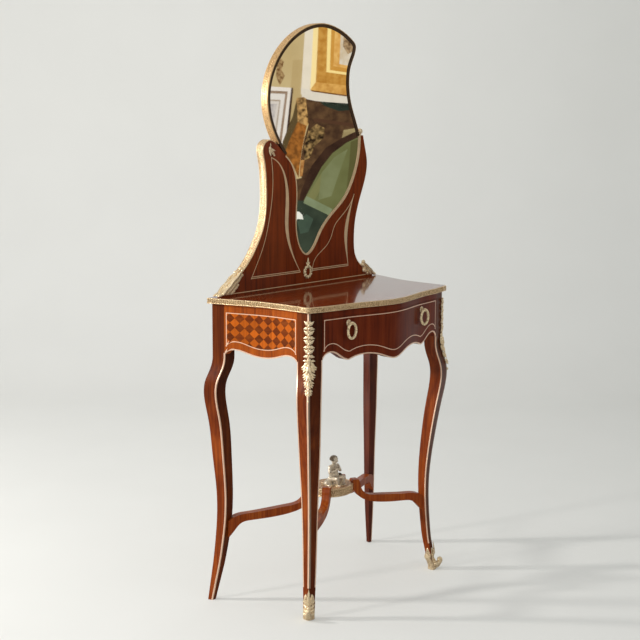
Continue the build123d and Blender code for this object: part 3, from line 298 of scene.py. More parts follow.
def placed(shape, moves):
    """Copies of a shape, laid in a sheet: each row of moves is (u, v, height, turn, scale), and the shape is
    scaled, turned in the sheet, then moved."""
    across, along, lift, turn, size = np.asarray(moves, float).T[..., None, None]
    u, v, height = (shape[..., axis] * size for axis in range(3))
    return np.stack([
        u * np.cos(turn) - v * np.sin(turn) + across,
        u * np.sin(turn) + v * np.cos(turn) + along,
        height + lift,
    ], -1)


def laid(sheet, shape, *moves, paired=False):
    """Copies of a shape carried from a sheet to its surface. Paired ones have mirror images across the
    sheet's middle line as well."""
    moves = np.asarray(moves, float)
    if paired:
        moves = np.concatenate([moves, moves * (-1, 1, 1, -1, 1)])
    return pod(sheet(placed(shape, moves)))


def node_points(name):
    mesh = NODES[name].data
    points = np.empty(len(mesh.vertices) * 3)
    mesh.vertices.foreach_get("co", points)
    return points.reshape(-1, 3) * 1000


def leg_frame(side):
    """Inward runs of a front post's side face and front face, its outward diagonal, and its corner."""
    side_run = np.array([0.0, 1.0, 0.0])
    front_run = np.array([-side * cos(FRONT_SKEW), -sin(FRONT_SKEW), 0.0])
    corner = np.array([side * FRONT_CORNER[0], FRONT_CORNER[1], 0.0])
    return side_run, front_run, -unit(side_run + front_run), corner


def arris_line(side):
    """Height and outward reach of a front leg's outer arris: the strip's outermost points, and the leg's own
    below the shoe's top, the furthest in each step of height."""
    name = "left" if side < 0 else "right"
    ankle = node_points(f"leg_front_{name}")
    points = np.concatenate([node_points(f"arris_strip_{name}"), ankle[ankle[:, 2] < SABOT_TOP - 2]])
    _, _, out, corner = leg_frame(side)
    reach = (points - corner)[:, :2] @ out[:2]
    grid = np.arange(4.0, 756.0, 12.0)
    cell = np.clip(np.searchsorted(grid, np.round(points[:, 2], 1)) - 1, 0, len(grid) - 1)
    best = np.full(len(grid), -99.0)
    np.maximum.at(best, cell, reach)
    keep = best > -30
    return grid[keep] + 6.0, best[keep]


def on_leg(side):
    """Sheet map for a front leg: u runs over the two outer faces from the arris, v is height, and the third
    number stands off the surface. The outward direction turns smoothly over the arris."""
    levels, reach = arris_line(side)
    side_run, front_run, out, corner = leg_frame(side)
    side_out = np.array([side, 0.0, 0.0])
    front_out = np.array([side * sin(FRONT_SKEW), -cos(FRONT_SKEW), 0.0])

    def place(points):
        u, v, height = np.split(points, 3, -1)
        soft = np.sqrt(u**2 + 2.0) - 1.4
        share = 0.5 + 0.5 * np.tanh(u / 4.0)
        normal = unit(side_out * (1 - share) + front_out * share)
        edge = corner + out * np.interp(v, levels, reach)
        spot = edge + np.where(u < 0, side_run, front_run) * soft + normal * height
        spot[..., 2:] = v
        return spot

    return place


def on_board(points):
    """Sheet map for the upright board: u is width, v is height, and the third number stands off its face."""
    return np.stack([points[..., 0], BOARD_FRONT_Y - points[..., 2], points[..., 1]], -1)


def on_board_point(point):
    return point[0] / 100 * BOARD_WIDTH, TOP_Z + point[1] / 100 * MIRROR_RISE


def board_path(outline, count):
    """A smooth path through an outline, at the board's front face."""
    x, z = on_board_point(np.asarray(outline).T)
    return through(stacked(x, BOARD_FRONT_Y, z), count)


def square_to(path):
    """Directions square to a path, in the board's plane."""
    tangent = unit(np.gradient(path, axis=0))
    return stacked(-tangent[:, 2], 0.0, tangent[:, 0])


# ---------------------------------------------------------------- finishes

class Output:
    """A node's output. Sums with it add Math nodes to its own material."""

    def __init__(self, finish, socket):
        self.finish, self.socket = finish, socket

    def sum(self, operation, *values):
        return self.finish.node("Math", *values, settings={"operation": operation})

    def __add__(self, other): return self.sum("ADD", self, other)
    def __sub__(self, other): return self.sum("SUBTRACT", self, other)
    def __rsub__(self, other): return self.sum("SUBTRACT", other, self)
    def __mul__(self, other): return self.sum("MULTIPLY", self, other)
    def __truediv__(self, other): return self.sum("DIVIDE", self, other)
    def __gt__(self, other): return self.sum("GREATER_THAN", self, other)
    def __lt__(self, other): return self.sum("LESS_THAN", self, other)
    def floor(self): return self.sum("FLOOR", self)
    def part(self): return self.sum("FRACT", self)
    def size(self): return self.sum("ABSOLUTE", self)
    def larger(self, other): return self.sum("MAXIMUM", self, other)
    def clipped(self): return self.finish.node("Clamp", self, 0.0, 1.0)


class Finish:
    """A material, or the world, under construction."""

    def __init__(self, name, world=None):
        self.owner = world or bpy.data.materials.new(name)
        self.owner.use_nodes = True
        self.tree = self.owner.node_tree
        self.tree.nodes.clear()
        self.out = self.tree.nodes.new("ShaderNodeOutputWorld" if world else "ShaderNodeOutputMaterial")

    def node(self, kind, *inputs, settings=None, output=0, **named):
        made = self.tree.nodes.new("ShaderNode" + kind)
        for key, value in (settings or {}).items():
            setattr(made, key, value)
        slots = [socket for socket in made.inputs if socket.enabled]
        for socket, value in zip(slots, inputs):
            self.feed(socket, value)
        for key, value in named.items():
            self.feed(next(socket for socket in slots if socket.name == key.replace("_", " ")), value)
        outputs = [socket for socket in made.outputs if socket.enabled]
        return Output(self, outputs[output] if isinstance(output, int) else made.outputs[output])

    def feed(self, socket, value):
        if isinstance(value, Output):
            self.tree.links.new(value.socket, socket)
        else:
            socket.default_value = (*value, 1.0) if socket.type == "RGBA" else value

    def end(self, shader):
        self.tree.links.new(shader.socket, self.out.inputs["Surface"])
        return self.owner

    def place(self, *scale):
        """Object coordinates, in metres, stretched by the scale."""
        spot = self.node("TexCoord", output="Object")
        return self.node("VectorMath", spot, scale, settings={"operation": "MULTIPLY"}) if scale else spot

    def axes(self):
        spot = self.place()
        return [self.node("SeparateXYZ", spot, output=axis) for axis in "XYZ"]

    def noise(self, scale, detail=3.0, distortion=0.0, stretch=()):
        return self.node("TexNoise", self.place(*stretch), Scale=scale, Detail=detail, Distortion=distortion)

    def ramp(self, value, *stops):
        made = self.node("ValToRGB", value)
        ramp = made.socket.node.color_ramp.elements
        while len(ramp) < len(stops):
            ramp.new(1.0)
        for element, (place, colour) in zip(ramp, stops):
            element.position, element.color = place, (*colour, 1.0)
        return made

    def mix(self, share, first, second):
        return self.node("Mix", settings={"data_type": "RGBA"}, Factor=share, A=first, B=second)

    def shade(self, colour, factor):
        """A colour made lighter or darker by a number."""
        return self.node("VectorMath", colour, settings={"operation": "SCALE"}, Scale=factor)

    def glow(self, colour, strength=1.0):
        return self.node("Emission", Color=colour, Strength=strength)

    def surface(self, **named):
        return self.end(self.node("BsdfPrincipled", **named))

    def bump(self, height, strength, distance):
        return self.node("Bump", Height=height, Strength=strength, Distance=distance)

    def front_shade(self, colour, share):
        """Painted shade: the colour scaled by the share where a face looks to the front, and kept where it looks
        aside.
        """
        turned = self.node("NewGeometry", output="Normal")
        front = ((self.node("SeparateXYZ", turned, output="Y") + 0.55) * -4.0).clipped()
        return self.shade(colour, 1.0 - front * (1.0 - share))


def veneer_tones(finish, along, dark, middle, light):
    """Grain colour and pore height: streaks are noise stretched along the grain, with a slower figure."""
    stretch = [5.0 if axis == along else 150.0 for axis in "XYZ"]
    fine = [40.0 if axis == along else 900.0 for axis in "XYZ"]
    streak = finish.noise(1.0, 5.0, 0.5, stretch)
    pores = finish.noise(1.0, stretch=fine)
    slow = finish.noise(1.0, 2.0, 1.0, (9.0, 9.0, 9.0))
    depth = (streak * 0.65 + slow * 0.35 + pores * 0.12 - 0.04).clipped()
    return finish.ramp(depth, (0.30, dark), (0.50, middle), (0.72, light)), pores


def polished(finish, colour, pores, roughness=0.3, coat=0.25):
    return finish.surface(
        Base_Color=colour, Roughness=pores * 0.12 + roughness, Specular_IOR_Level=0.08, Coat_Weight=coat,
        Coat_Roughness=0.07, Normal=finish.bump(pores, 0.05, 0.0004))


def veneer(name, along, tones, roughness=0.3, coat=0.25, front_share=1.0, high_share=1.0):
    """Polished veneer. The colour can be toned down, to stand in for shade, where a face looks to the front and
    where the wood is higher than 0.44 m: each share scales it."""
    finish = Finish(name)
    colour, pores = veneer_tones(finish, along, *tones)
    if front_share < 1.0:
        colour = finish.front_shade(colour, front_share)
    if high_share < 1.0:
        _, _, z = finish.axes()
        colour = finish.shade(colour, 1.0 - ((z - 0.44) * 5.0).clipped() * (1.0 - high_share))
    return polished(finish, colour, pores, roughness, coat)


def parquetry(name, middle_y, half_length, dark, light, border):
    """Diamonds of two woods inside the stringing, cross-banding outside it: diamonds are a checker on the sum
    and the difference of the two directions, each with its own tone and grain."""
    finish = Finish(name)
    _, y, z = finish.axes()
    shift = (y - middle_y) / 0.0254
    rise = (z - 0.7235) / 0.0233
    first, second = shift + rise, shift - rise
    cell_a, cell_b = first.floor(), second.floor()
    parity = ((cell_a + cell_b) * 0.5).part() * 2.0
    cell = finish.node("CombineXYZ", cell_a, cell_b, 0.0)
    tile = finish.node("TexWhiteNoise", cell, settings={"noise_dimensions": "2D"})
    dark_wood, pores = veneer_tones(finish, "Y", *dark)
    light_wood, _ = veneer_tones(finish, "Z", *light)
    seam_a, seam_b = (((way.part() - 0.5).size() - 0.47) * 30.0 for way in (first, second))
    diamonds = finish.mix(parity > 0.5, dark_wood, light_wood)
    diamonds = finish.shade(diamonds, tile * 0.35 + 0.8)
    diamonds = finish.shade(diamonds, 1.0 - seam_a.larger(seam_b).clipped() * 0.35)
    share = ((y - middle_y).size() / half_length).clipped()
    stops = ((0.0, 0.045), (0.20, 0.06), (0.42, 0.115), (0.72, 0.185), (0.88, 0.16), (1.0, 0.06))
    edge = finish.ramp(share, *((place, (level,) * 3) for place, level in stops))
    level = finish.node("SeparateColor", edge) * 0.1 + 0.646
    inside = (z > level) * (z < 0.736) * (share < 0.955)
    cross, _ = veneer_tones(finish, "Z", *border)
    return polished(finish, finish.mix(inside, cross, diamonds), pores)


# Bright and deep colour, then roughness, depth of the chased dots, and metal share where they differ. The deep
# colour is painted shade in the recesses, and also the metal's own chased dots and darker patches
GILDINGS = {
    "gilt_band": ((0.88, 0.66, 0.38), (0.30, 0.16, 0.06), 0.3, 4.2),
    "ring_gilding": ((1.0, 0.83, 0.50), (0.20, 0.09, 0.03), 0.24, 5.0, 0.2),
    "mirror_gilding": ((0.84, 0.55, 0.25), (0.26, 0.13, 0.05), 0.34, 2.6),
    "plate_gilding": ((0.80, 0.52, 0.30), (0.13, 0.045, 0.02), 0.3, 2.4),
    "putto_gilding": ((1.0, 0.88, 0.68), (0.085, 0.05, 0.03), 0.25, 3.0),
    "dark_patina": ((0.16, 0.12, 0.08), (0.035, 0.024, 0.016), 0.3),
}


def gilding(name, bright, deep, roughness, chased=2.2, metal=0.5):
    """Chased and gilt bronze: bright metal with duller recesses, darkened by painted shade, chased dots and a fine
    matted ground.
    """
    finish = Finish(name)
    matting, patches, chasing = finish.noise(1400.0, 2.0), finish.noise(90.0), finish.noise(420.0, 1.0)
    edges = finish.node("NewGeometry", output="Pointiness")
    # Painted shade: hollows, where Pointiness is low, take the deep colour; patches and chased dots are the metal's
    # own.
    wear_and_shade = ((edges - 0.5) * 9.0 + patches * 0.4 + (chasing - 0.5) * chased + 0.42).clipped()
    return finish.surface(
        Base_Color=finish.mix(wear_and_shade, deep, bright), Metallic=metal,
        Roughness=(1.0 - wear_and_shade) * 0.22 + matting * 0.12 + (roughness - 0.06),
        Normal=finish.bump(matting, 0.12, 0.0003))


def gilt(name):
    """The gilding of that name, made when it is first asked for."""
    look = GILDINGS.get(name) or (finishes().gold, finishes().gold_shade, 0.27, 3.0)
    return bpy.data.materials.get(name) or gilding(name, *look)


def brass(name, colour, roughness=0.33, front_share=1.0):
    """Aged brass lines. The share tones down faces that look to the front, to stand in for shade."""
    finish = Finish(name)
    patches = finish.noise(60.0, 4.0)
    wear_and_shade = finish.shade(finish.mix(patches, colour, [part * 0.72 for part in colour]), 1.05)
    if front_share < 1.0:
        wear_and_shade = finish.front_shade(wear_and_shade, front_share)
    return finish.surface(Base_Color=wear_and_shade, Metallic=0.45, Roughness=patches * 0.25 + (roughness - 0.1))


def plain_timber(name, along, tones):
    finish = Finish(name)
    colour, pores = veneer_tones(finish, along, *tones)
    return finish.surface(Base_Color=colour, Roughness=pores * 0.2 + 0.55, Normal=finish.bump(pores, 0.3, 0.0006))


def silvered_glass(name):
    finish = Finish(name)
    age = finish.noise(22.0, 5.0)
    silver = finish.ramp(age, (0.25, (0.90, 0.89, 0.85)), (0.55, (0.96, 0.95, 0.92)))
    return finish.surface(Base_Color=silver, Metallic=1.0, Roughness=age * 0.03)


def screen(colour):
    """A colour from its screen values, 0 to 255, by the usual screen curve."""
    return tuple(((part / 255 + 0.055) / 1.055) ** 2.4 for part in colour)


def card_finish(name, colour, second=None, scale=0.0):
    """A card that shines by itself. With a second colour it is mottled: noise between the two."""
    finish = Finish(name)
    colour = screen(colour)
    if second:
        patch = ((finish.noise(scale) - 0.36) * 3.4).clipped()
        colour = finish.mix(patch, screen(second), colour)
    return finish.end(finish.glow(colour))


# ---------------------------------------------------------------- settings

def colour_setting(name, default, note):
    return FloatVectorProperty(name=name, description=note, default=default, subtype="COLOR", min=0.0, max=1.0)


def length_setting(name, default, note):
    return FloatProperty(name=name, description=note, default=default * MM, subtype="DISTANCE", unit="LENGTH")


class PoudreuseFinishes(bpy.types.PropertyGroup):
    """Colours of the woods and metals."""

    gold: colour_setting("Gold", (1.0, 0.82, 0.53), "Bright gilding of the mounts")
    # The gold shade is painted shade: the colour that the gilding's recesses are darkened to.
    gold_shade: colour_setting("Gold shade", (0.24, 0.12, 0.05), "Toned recesses of the gilding")
    stringing: colour_setting("Stringing", (1.0, 0.70, 0.50), "Brass lines let into the veneer")
    veneer_light: colour_setting("Veneer light", (0.240, 0.036, 0.004), "Light streaks of the veneer")
    veneer_dark: colour_setting("Veneer dark", (0.072, 0.008, 0.001), "Dark streaks of the veneer")
    tulip: colour_setting("Light diamonds", (0.43, 0.090, 0.005), "Light wood of the parquetry")


class PoudreuseSizes(bpy.types.PropertyGroup):
    """Sizes of the repeated ornament."""

    band_pitch: length_setting("Band pitch", 5.2, "Step of the leaf tips round the tabletop")
    flank_pitch: length_setting("Flank pitch", 5.6, "Step of the ornament on the board's flanks")
    leaf_length: length_setting("Leaf length", 16.6, "Length of one leaf on the chutes")
    camera_lens: FloatProperty(name="Lens", description="Focal length for a 36 mm sensor", default=78.79, min=20.0)


def finishes():
    return bpy.context.scene.poudreuse_finishes


def sizes():
    return bpy.context.scene.poudreuse_sizes


# ---------------------------------------------------------------- pieces

LEG_WOOD = ((0.085, 0.012, 0.002), (0.175, 0.030, 0.004), (0.31, 0.066, 0.009))

# Name, grain, dark, middle and light tone, the nodes that have it, and what else differs
VENEERS = (
    ("drawer_veneer", "Z", ((0.053, 0.006, 0.002), (0.112, 0.015, 0.003), (0.180, 0.028, 0.005)),
     "drawer_front front_top_rail", {}),
    # The legs' front faces, and the left legs above 0.44 m, are toned down as painted shade.
    ("leg_veneer", "Z", LEG_WOOD, "leg_front_left leg_back_left", {"front_share": 0.5, "high_share": 0.55}),
    ("leg_veneer_right", "Z", LEG_WOOD, "leg_front_right", {"front_share": 0.5}),
    # The back right leg has a darker copy of the leg wood, as painted shade.
    ("leg_veneer_painted_shade", "Z", ((0.045, 0.007, 0.003), (0.085, 0.015, 0.006), (0.14, 0.028, 0.009)),
     "leg_back_right", {}),
    ("arm_veneer", "Z", ((0.13, 0.019, 0.003), (0.25, 0.046, 0.006), (0.42, 0.105, 0.014)),
     "stretcher_arm_front_left stretcher_arm_back_left stretcher_arm_front_right stretcher_arm_back_right "
     "stretcher_platform", {}),
    ("rim_moulding", "Z", ((0.030, 0.015, 0.008), (0.052, 0.028, 0.014), (0.075, 0.042, 0.022)), "mirror_rim", {}),
)
TIMBERS = (
    ("plain_timber", "X", ((0.10, 0.050, 0.022), (0.17, 0.090, 0.040), (0.24, 0.135, 0.065)),
     "back_rail front_bearer_rail drawer_back mirror_battens"),
    ("drawer_lining", "Y", ((0.22, 0.13, 0.065), (0.30, 0.19, 0.10), (0.38, 0.25, 0.14)),
     "drawer_runners drawer_kickers drawer_side_left drawer_side_right drawer_bottom"),
    ("backing_timber", "Z", ((0.09, 0.045, 0.020), (0.15, 0.078, 0.036), (0.20, 0.11, 0.055)), "mirror_back"),
)


def paint(material, names):
    for name in names.split():
        slots = NODES[name].data.materials
        slots.clear()
        slots.append(material)


class POUDREUSE_OT_woods(bpy.types.Operator):
    """Veneers, parquetry, brass lines, glass and plain timber on the solids."""

    bl_idname = "poudreuse.woods"
    bl_label = "Woods, Brass and Glass"

    def execute(self, context):
        look = finishes()
        dark, light, tulip = tuple(look.veneer_dark), tuple(look.veneer_light), tuple(look.tulip)
        tones = (dark, tuple(0.45 * a + 0.55 * b for a, b in zip(dark, light)), light)
        paint(veneer("board_veneer", "Z", tones), "mirror_board")
        paint(veneer("top_veneer", "X", tones, 0.2, 1.0), "tabletop")
        for name, along, tones, names, more in VENEERS:
            paint(veneer(name, along, tones, **more), names)
        for name, along, tones, names in TIMBERS:
            paint(plain_timber(name, along, tones), names)
        low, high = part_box("side_rail_left")
        paint(parquetry(
            "side_parquetry", (low.y + high.y) / 2, (high.y - low.y) / 2,
            ((0.085, 0.013, 0.002), (0.150, 0.028, 0.003), (0.215, 0.048, 0.005)),
            [[part * share for part in tulip] for share in (0.62, 1.0, 1.18)],
            ((0.14, 0.026, 0.004), (0.30, 0.060, 0.006), (0.46, 0.105, 0.008)),
        ), "side_rail_left side_rail_right")
        lines = tuple(look.stringing)
        paint(brass("brass_lines", lines), "side_fillet_left side_fillet_right front_leg_fillets stringing_left "
              "stringing_right stringing_front drawer_fillet")
        # The arris strips' front faces are toned down to a third as painted shade.
        paint(brass("arris_brass", lines, 0.33, 0.32), "arris_strip_left arris_strip_right")
        paint(brass("board_brass", (0.90, 0.66, 0.40), 0.36), "board_stringing opening_fillet")
        paint(brass("screw_steel", (0.42, 0.39, 0.35), 0.5), "batten_screws handle_nuts")
        paint(silvered_glass("mirror_silver"), "mirror_glass")
        return {"FINISHED"}


def top_outline():
    """The tabletop's front and side edge, from the back left corner round the front to the back right one."""
    points = node_points("tabletop")
    points = points[points[:, 2] > TOP_Z - 0.5]
    angle = np.arctan2(points[:, 0], -points[:, 1])
    order = np.argsort(angle)
    points, angle = points[order], angle[order]
    back = points[:, 1].max()
    reach = np.abs(points[points[:, 1] > back - 0.5][:, 0]).max()
    return respaced(points[np.abs(angle) <= np.arctan2(reach, -back) + 1e-6], 2600)


def smooth_along(path, steps):
    """Running mean along a path, so short straight facets turn evenly."""
    weight = np.ones(2 * steps + 1) / (2 * steps + 1)
    padded = np.concatenate([np.repeat(path[:1], steps, 0), path, np.repeat(path[-1:], steps, 0)])
    return np.stack([np.convolve(column, weight, "valid") for column in padded.T], -1)


def leaf_tips(run, t):
    """Relief of a leaf-tip moulding: raised tongues side by side between two fillets, with darts between."""
    phase = (run / (sizes().band_pitch / MM)) % 1.0 - 0.5
    tongue = np.clip(1 - (phase / 0.42) ** 2 - ((t - 0.56) / 0.52) ** 4, 0, 1) ** 0.5
    fillet = ridge(t - 0.09, 0.07) + ridge(t - 0.93, 0.07)
    return np.maximum(0.30 + 0.62 * tongue * (1 - 0.35 * bell(phase, 0.08)), 0.98 * np.clip(fillet * 2, 0, 1))


def clasp(run, t):
    """Relief of a clasp: a plain plate with a border, shallow scrolls and a sunk eye."""
    along = (run - run.mean()) / CLASP_HALF
    scroll = 0.06 * np.cos(along * 9.0) * np.cos((t - 0.5) * 6.0)
    border = ridge(np.abs(t - 0.5) - 0.42, 0.06)
    return 0.86 + scroll + 0.10 * border - 0.12 * np.exp(-((along**2 + ((t - 0.5) * 2) ** 2) / 0.02))


def flank_relief(run, t):
    """Relief of the flank bands: a rounded edge each side of a matted ground with small crossed leaves."""
    step, off = run / (sizes().flank_pitch / MM), np.abs(t - 0.5)
    chevron = 0.5 + 0.5 * np.cos(2 * pi * (step + 3.0 * off))
    spine = bell(off, 0.06) * (0.7 - 0.3 * np.cos(2 * pi * step))
    field = 0.40 + 0.42 * chevron * np.exp(-(((off - 0.2) / 0.17) ** 4))
    return np.maximum(np.maximum(field, spine * 0.9), ridge(off - 0.43, 0.07) ** 0.5)


def dotted_relief(run, t):
    """Relief of the mirror's band: a plain rounded strap with a row of sunk dots between two rows of small
    ones, half a step on."""
    off = np.abs(t - 0.5)
    main, other = (((run / DOT_PITCH + shift) % 1.0 - 0.5) * DOT_PITCH for shift in (0.0, 0.5))
    dot = np.exp(-((main**2 + (off * 23.0) ** 2) / 1.6))
    side_dots = np.exp(-((other**2 + ((off - 0.28) * 23.0) ** 2) / 1.2))
    return 0.72 - 0.45 * dot - 0.30 * side_dots + 0.28 * ridge(off - 0.44, 0.05)


def rim_relief(run, t):
    """Relief of the platform's rim: upright flutes between two beads."""
    flute = 0.5 + 0.5 * np.cos(2 * pi * run / 7.0)
    edge = ridge(np.abs(t - 0.5) - 0.40, 0.09) ** 0.5
    return np.maximum(0.42 + 0.4 * flute * ridge(t - 0.5, 0.26) ** 0.4, edge)


class POUDREUSE_OT_tabletop_band(bpy.types.Operator):
    """Leaf-tip band round the tabletop, with a plain clasp at each front corner."""

    bl_idname = "poudreuse.tabletop_band"
    bl_label = "Tabletop Band"

    def execute(self, context):
        path = top_outline()
        tangent = unit(smooth_along(np.gradient(path, axis=0), 6))
        outward = stacked(tangent[:, 1], -tangent[:, 0], 0.0)
        path = path * (1, 1, 0) + (0, 0, TOP_Z - TOP_THICKNESS)
        up = np.array([0.0, 0.0, 1.0])
        shapes = [moulding(path, up, outward, TOP_THICKNESS, BAND_PROUD, leaf_tips, 18)]
        run = lengths(path)
        for _, side in SIDES:
            corner = np.array([side * 268.0, -122.0])
            middle = run[np.argmin(np.linalg.norm(path[:, :2] - corner, axis=1))]
            pick = np.abs(run - middle) < CLASP_HALF
            shapes.append(moulding(path[pick], up, outward[pick], TOP_THICKNESS, CLASP_PROUD, clasp, 18))
        add_piece("tabletop_band_chased", shapes, ["tabletop_band"], "gilt_band")
        return {"FINISHED"}


class POUDREUSE_OT_board_bands(bpy.types.Operator):
    """Chased bands on the board's flanks and on the mirror's free edge."""

    bl_idname = "poudreuse.board_bands"
    bl_label = "Board and Mirror Bands"

    def execute(self, context):
        for node, outline in (("board_band_left", LEFT_FLANK), ("board_band_right", RIGHT_FLANK)):
            low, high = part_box(node)
            path = board_path(outline, 1500)
            pick = (path[:, 2] > low.z * 1000) & (path[:, 2] < high.z * 1000 + 3)
            if outline is LEFT_FLANK:
                pick &= path[:, 0] < high.x * 1000
            self.add_band(node, path[pick], 0, flank_relief, "gilt_band")
        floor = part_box("mirror_band")[0].z * 1000
        path = board_path(MIRROR_FLANK, 2600)
        start = np.argmax(path[:, 2] > floor + 24)
        stop = len(path) - np.argmax(path[::-1, 2] > floor)
        self.add_band("mirror_band", (path[start:stop] + (0, 1, 0))[::-1], 1, dotted_relief, "mirror_gilding")
        return {"FINISHED"}

    def add_band(self, node, path, less, relief, finish):
        """A band over the board's thickness, less so many millimetres."""
        strip = moulding(path, np.array([0.0, 1.0, 0.0]), square_to(path), BOARD_BACK_Y - BOARD_FRONT_Y - less,
                         BAND_PROUD, relief)
        add_piece(f"{node}_chased", [strip], [node], finish)


def link(place, u, half_width, half_height, flip=1):
    """An upright oval link of round wire, or its mirror image."""
    turn, section, wire = circle(28).T, circle(8), 1.7
    return hoop(place(stacked(
        u + (half_width + wire * np.cos(section)) * np.cos(turn),
        CHUTE_TOP - 103.0 + (half_height + wire * np.cos(section)) * np.sin(turn),
        1.6 + wire * np.sin(section),
    ) * (flip, 1, 1)))


class POUDREUSE_OT_chutes(bpy.types.Operator):
    """Leaf drops on the knees: tiers of paired leaves, an open loop, and a tapering husk."""

    bl_idname = "poudreuse.chutes"
    bl_label = "Knee Chutes"

    def execute(self, context):
        size = sizes().leaf_length / MM
        ear = leaf(size, size * 0.62, 3.4, 2.4, 2)
        curl = leaf(size * 0.55, size * 0.34, 2.6, 2.6, 2)
        husk = leaf(14.0, 8.6, 3.4, 4.4, 1)
        bud = bead(2.8, 4.0, 2.8)
        rows = []
        for row in range(8):
            grow = 1.05 - 0.078 * row
            sway = 1.0 if row % 2 else -1.0
            z = CHUTE_TOP - 106.0 - row * HUSK_STEP + sway
            for turn, offset, lift in ((-168, 1.0, 3.4), (-142, 5.0, 2.2), (-112, 7.0, 1.0)):
                rows.append((offset * grow, z, lift, radians(turn + 6 * sway), grow))
        for name, side in SIDES:
            place = on_leg(side)
            shapes = []
            for tier in range(4):
                z = CHUTE_TOP - 8.0 - tier * CHUTE_TIER
                shapes += [
                    laid(place, ear, (0.0, z - 4, 1.6, radians(-52), 1.0),
                         (0.0, z - 9, 1.2, radians(-104), 0.96), paired=True),
                    laid(place, curl, (6.2, z - 13, 2.0, radians(35), 0.86),
                         (1.0, z + 1, 2.2, radians(-24), 0.8), paired=True),
                    laid(place, bud, (0, z - 3, 2.6, 0, 1.0), (0, z - 12, 1.8, 0, 0.8)),
                ]
            shapes += [
                link(place, 0.0, 7.0, 12.0), link(place, 2.0, 0.6, 9.0), link(place, 2.0, 0.6, 9.0, -1),
                laid(place, ear, (6.0, CHUTE_TOP - 96, 1.0, radians(-96), 0.72),
                     (5.0, CHUTE_TOP - 101, 1.0, radians(-128), 0.86), paired=True),
                laid(place, husk, *rows, paired=True),
                laid(place, bud, *((0, CHUTE_TOP - 108 - step * HUSK_STEP, 3.8, 0, 1.1 - 0.1 * step)
                                   for step in range(8))),
                laid(place, bud, (0, CHUTE_TOP - 190, 1.2, 0, 0.9)),
            ]
            add_piece(f"chute_{name}_chased", shapes, [f"chute_{name}"])
        return {"FINISHED"}


def foot(side, z):
    """A front leg's corner, and the width of its section, at given heights."""
    _, _, out, corner = leg_frame(side)
    edge = corner + out * np.interp(z, *arris_line(side))[..., None]
    return edge, 38.0 * np.interp(z, (0, 100), (0.42, 0.54))[..., None]


def sleeve(side):
    """A sleeve round the ankle: the leg's four-sided section grown by the shoe's thickness, with soft
    corners, rising to four leaf points."""
    levels = np.concatenate([[0.0, 1.0], np.linspace(3.0, 62.0, 28)])[:, None]
    turn = np.arange(56) / 56
    soft = 1 - 0.10 * (np.abs(np.cos(turn * 4 * pi)) ** 6)
    a, b = ((np.interp(turn * 4, range(5), walk) - 0.5) * soft for walk in ((0, 1, 1, 0, 0), (0, 0, 1, 1, 0)))
    rise = 0.85 - 0.15 * np.cos(turn * 8 * pi)
    z = np.where(levels > 3, 3 + (levels - 3) * rise, levels + 0 * rise)
    edge, width = foot(side, z)
    grow = 2.0 + 0.9 * bell(levels - 4, 4) + 0.25 * np.cos(turn * 48 * pi) * (levels > 6)
    grow = np.where(levels > 61, 0.2, grow)
    side_run, front_run, _, _ = leg_frame(side)
    arm = (side_run * a[:, None] + front_run * b[:, None]) * width
    points = edge + (side_run + front_run) * width * 0.5 + arm + unit(arm) * grow[..., None]
    points[..., 2] = z
    return pod(points)


def toe(side):
    """A toe that swells forward from the ankle and rolls up into a volute, with a ball at each side."""
    corner = foot(side, np.array([2.0]))[0][0] * (1, 1, 0)
    _, _, out, _ = leg_frame(side)
    across = np.array([-out[1], out[0], 0.0])
    path = through([(-9, 12), (-2, 12), (4, 13), (9, 17), (13.5, 23), (12.5, 28), (8.5, 28.5), (6.5, 25.5), (8, 23)],
                   46)
    radius = np.interp(np.linspace(0, 1, len(path)), (0, 0.25, 0.5, 0.8, 1.0), (11.0, 9.6, 6.2, 3.6, 1.6))[:, None]
    tangent = unit(np.gradient(path, axis=0))
    normal = stacked(-tangent[:, 1], tangent[:, 0])
    turn = circle(16)
    radius = radius * (1 + 0.10 * np.cos(turn * 5))
    flat = path[:, None] + (radius * np.cos(turn))[..., None] * normal[:, None]
    points = corner + out * flat[..., :1] + across * (radius * np.sin(turn) * 1.05)[..., None]
    points[..., 2] = np.maximum(flat[..., 1], 0.0)
    eyes = corner + out * 8.5 + (0, 0, 25.0) + across * np.array([-4.0, 4.0])[:, None, None, None]
    return [pod(points), pod(eyes + bead(3.4, 3.4, 3.4))]


class POUDREUSE_OT_sabots(bpy.types.Operator):
    """Gilt shoes on the front feet: a leafed sleeve, side leaves, and a scrolled toe."""

    bl_idname = "poudreuse.sabots"
    bl_label = "Sabots"

    def execute(self, context):
        tall = leaf(60.0, 11.0, 2.4, 1.0, 5, 18, 12)
        flank = leaf(34.0, 9.0, 2.4, 2.0, 3, 12, 12)
        small = leaf(15.0, 7.0, 2.2, 2.4, 2)
        for name, side in SIDES:
            place = on_leg(side)
            shapes = [
                sleeve(side),
                laid(place, tall, (0, 17, 2.4, 0, 1.0)),
                laid(place, flank, (4.5, 24, 2.2, radians(-7), 1.0), (11.0, 22, 2.0, radians(-2), 0.92), paired=True),
                laid(place, small, *((3.5, 10 + step * 9, 2.6, radians(-60), 0.9) for step in range(4)),
                     *((9.5, 8 + step * 9, 2.2, radians(-30), 0.8) for step in range(4)), paired=True),
                laid(place, bead(1.8, 2.2, 2.2), *((13.0, 6 + step * 8, 2.0, 0, 1.0) for step in range(5)),
                     paired=True),
            ] + toe(side)
            add_piece(f"sabot_{name}_chased", shapes, [f"sabot_{name}"])
        return {"FINISHED"}


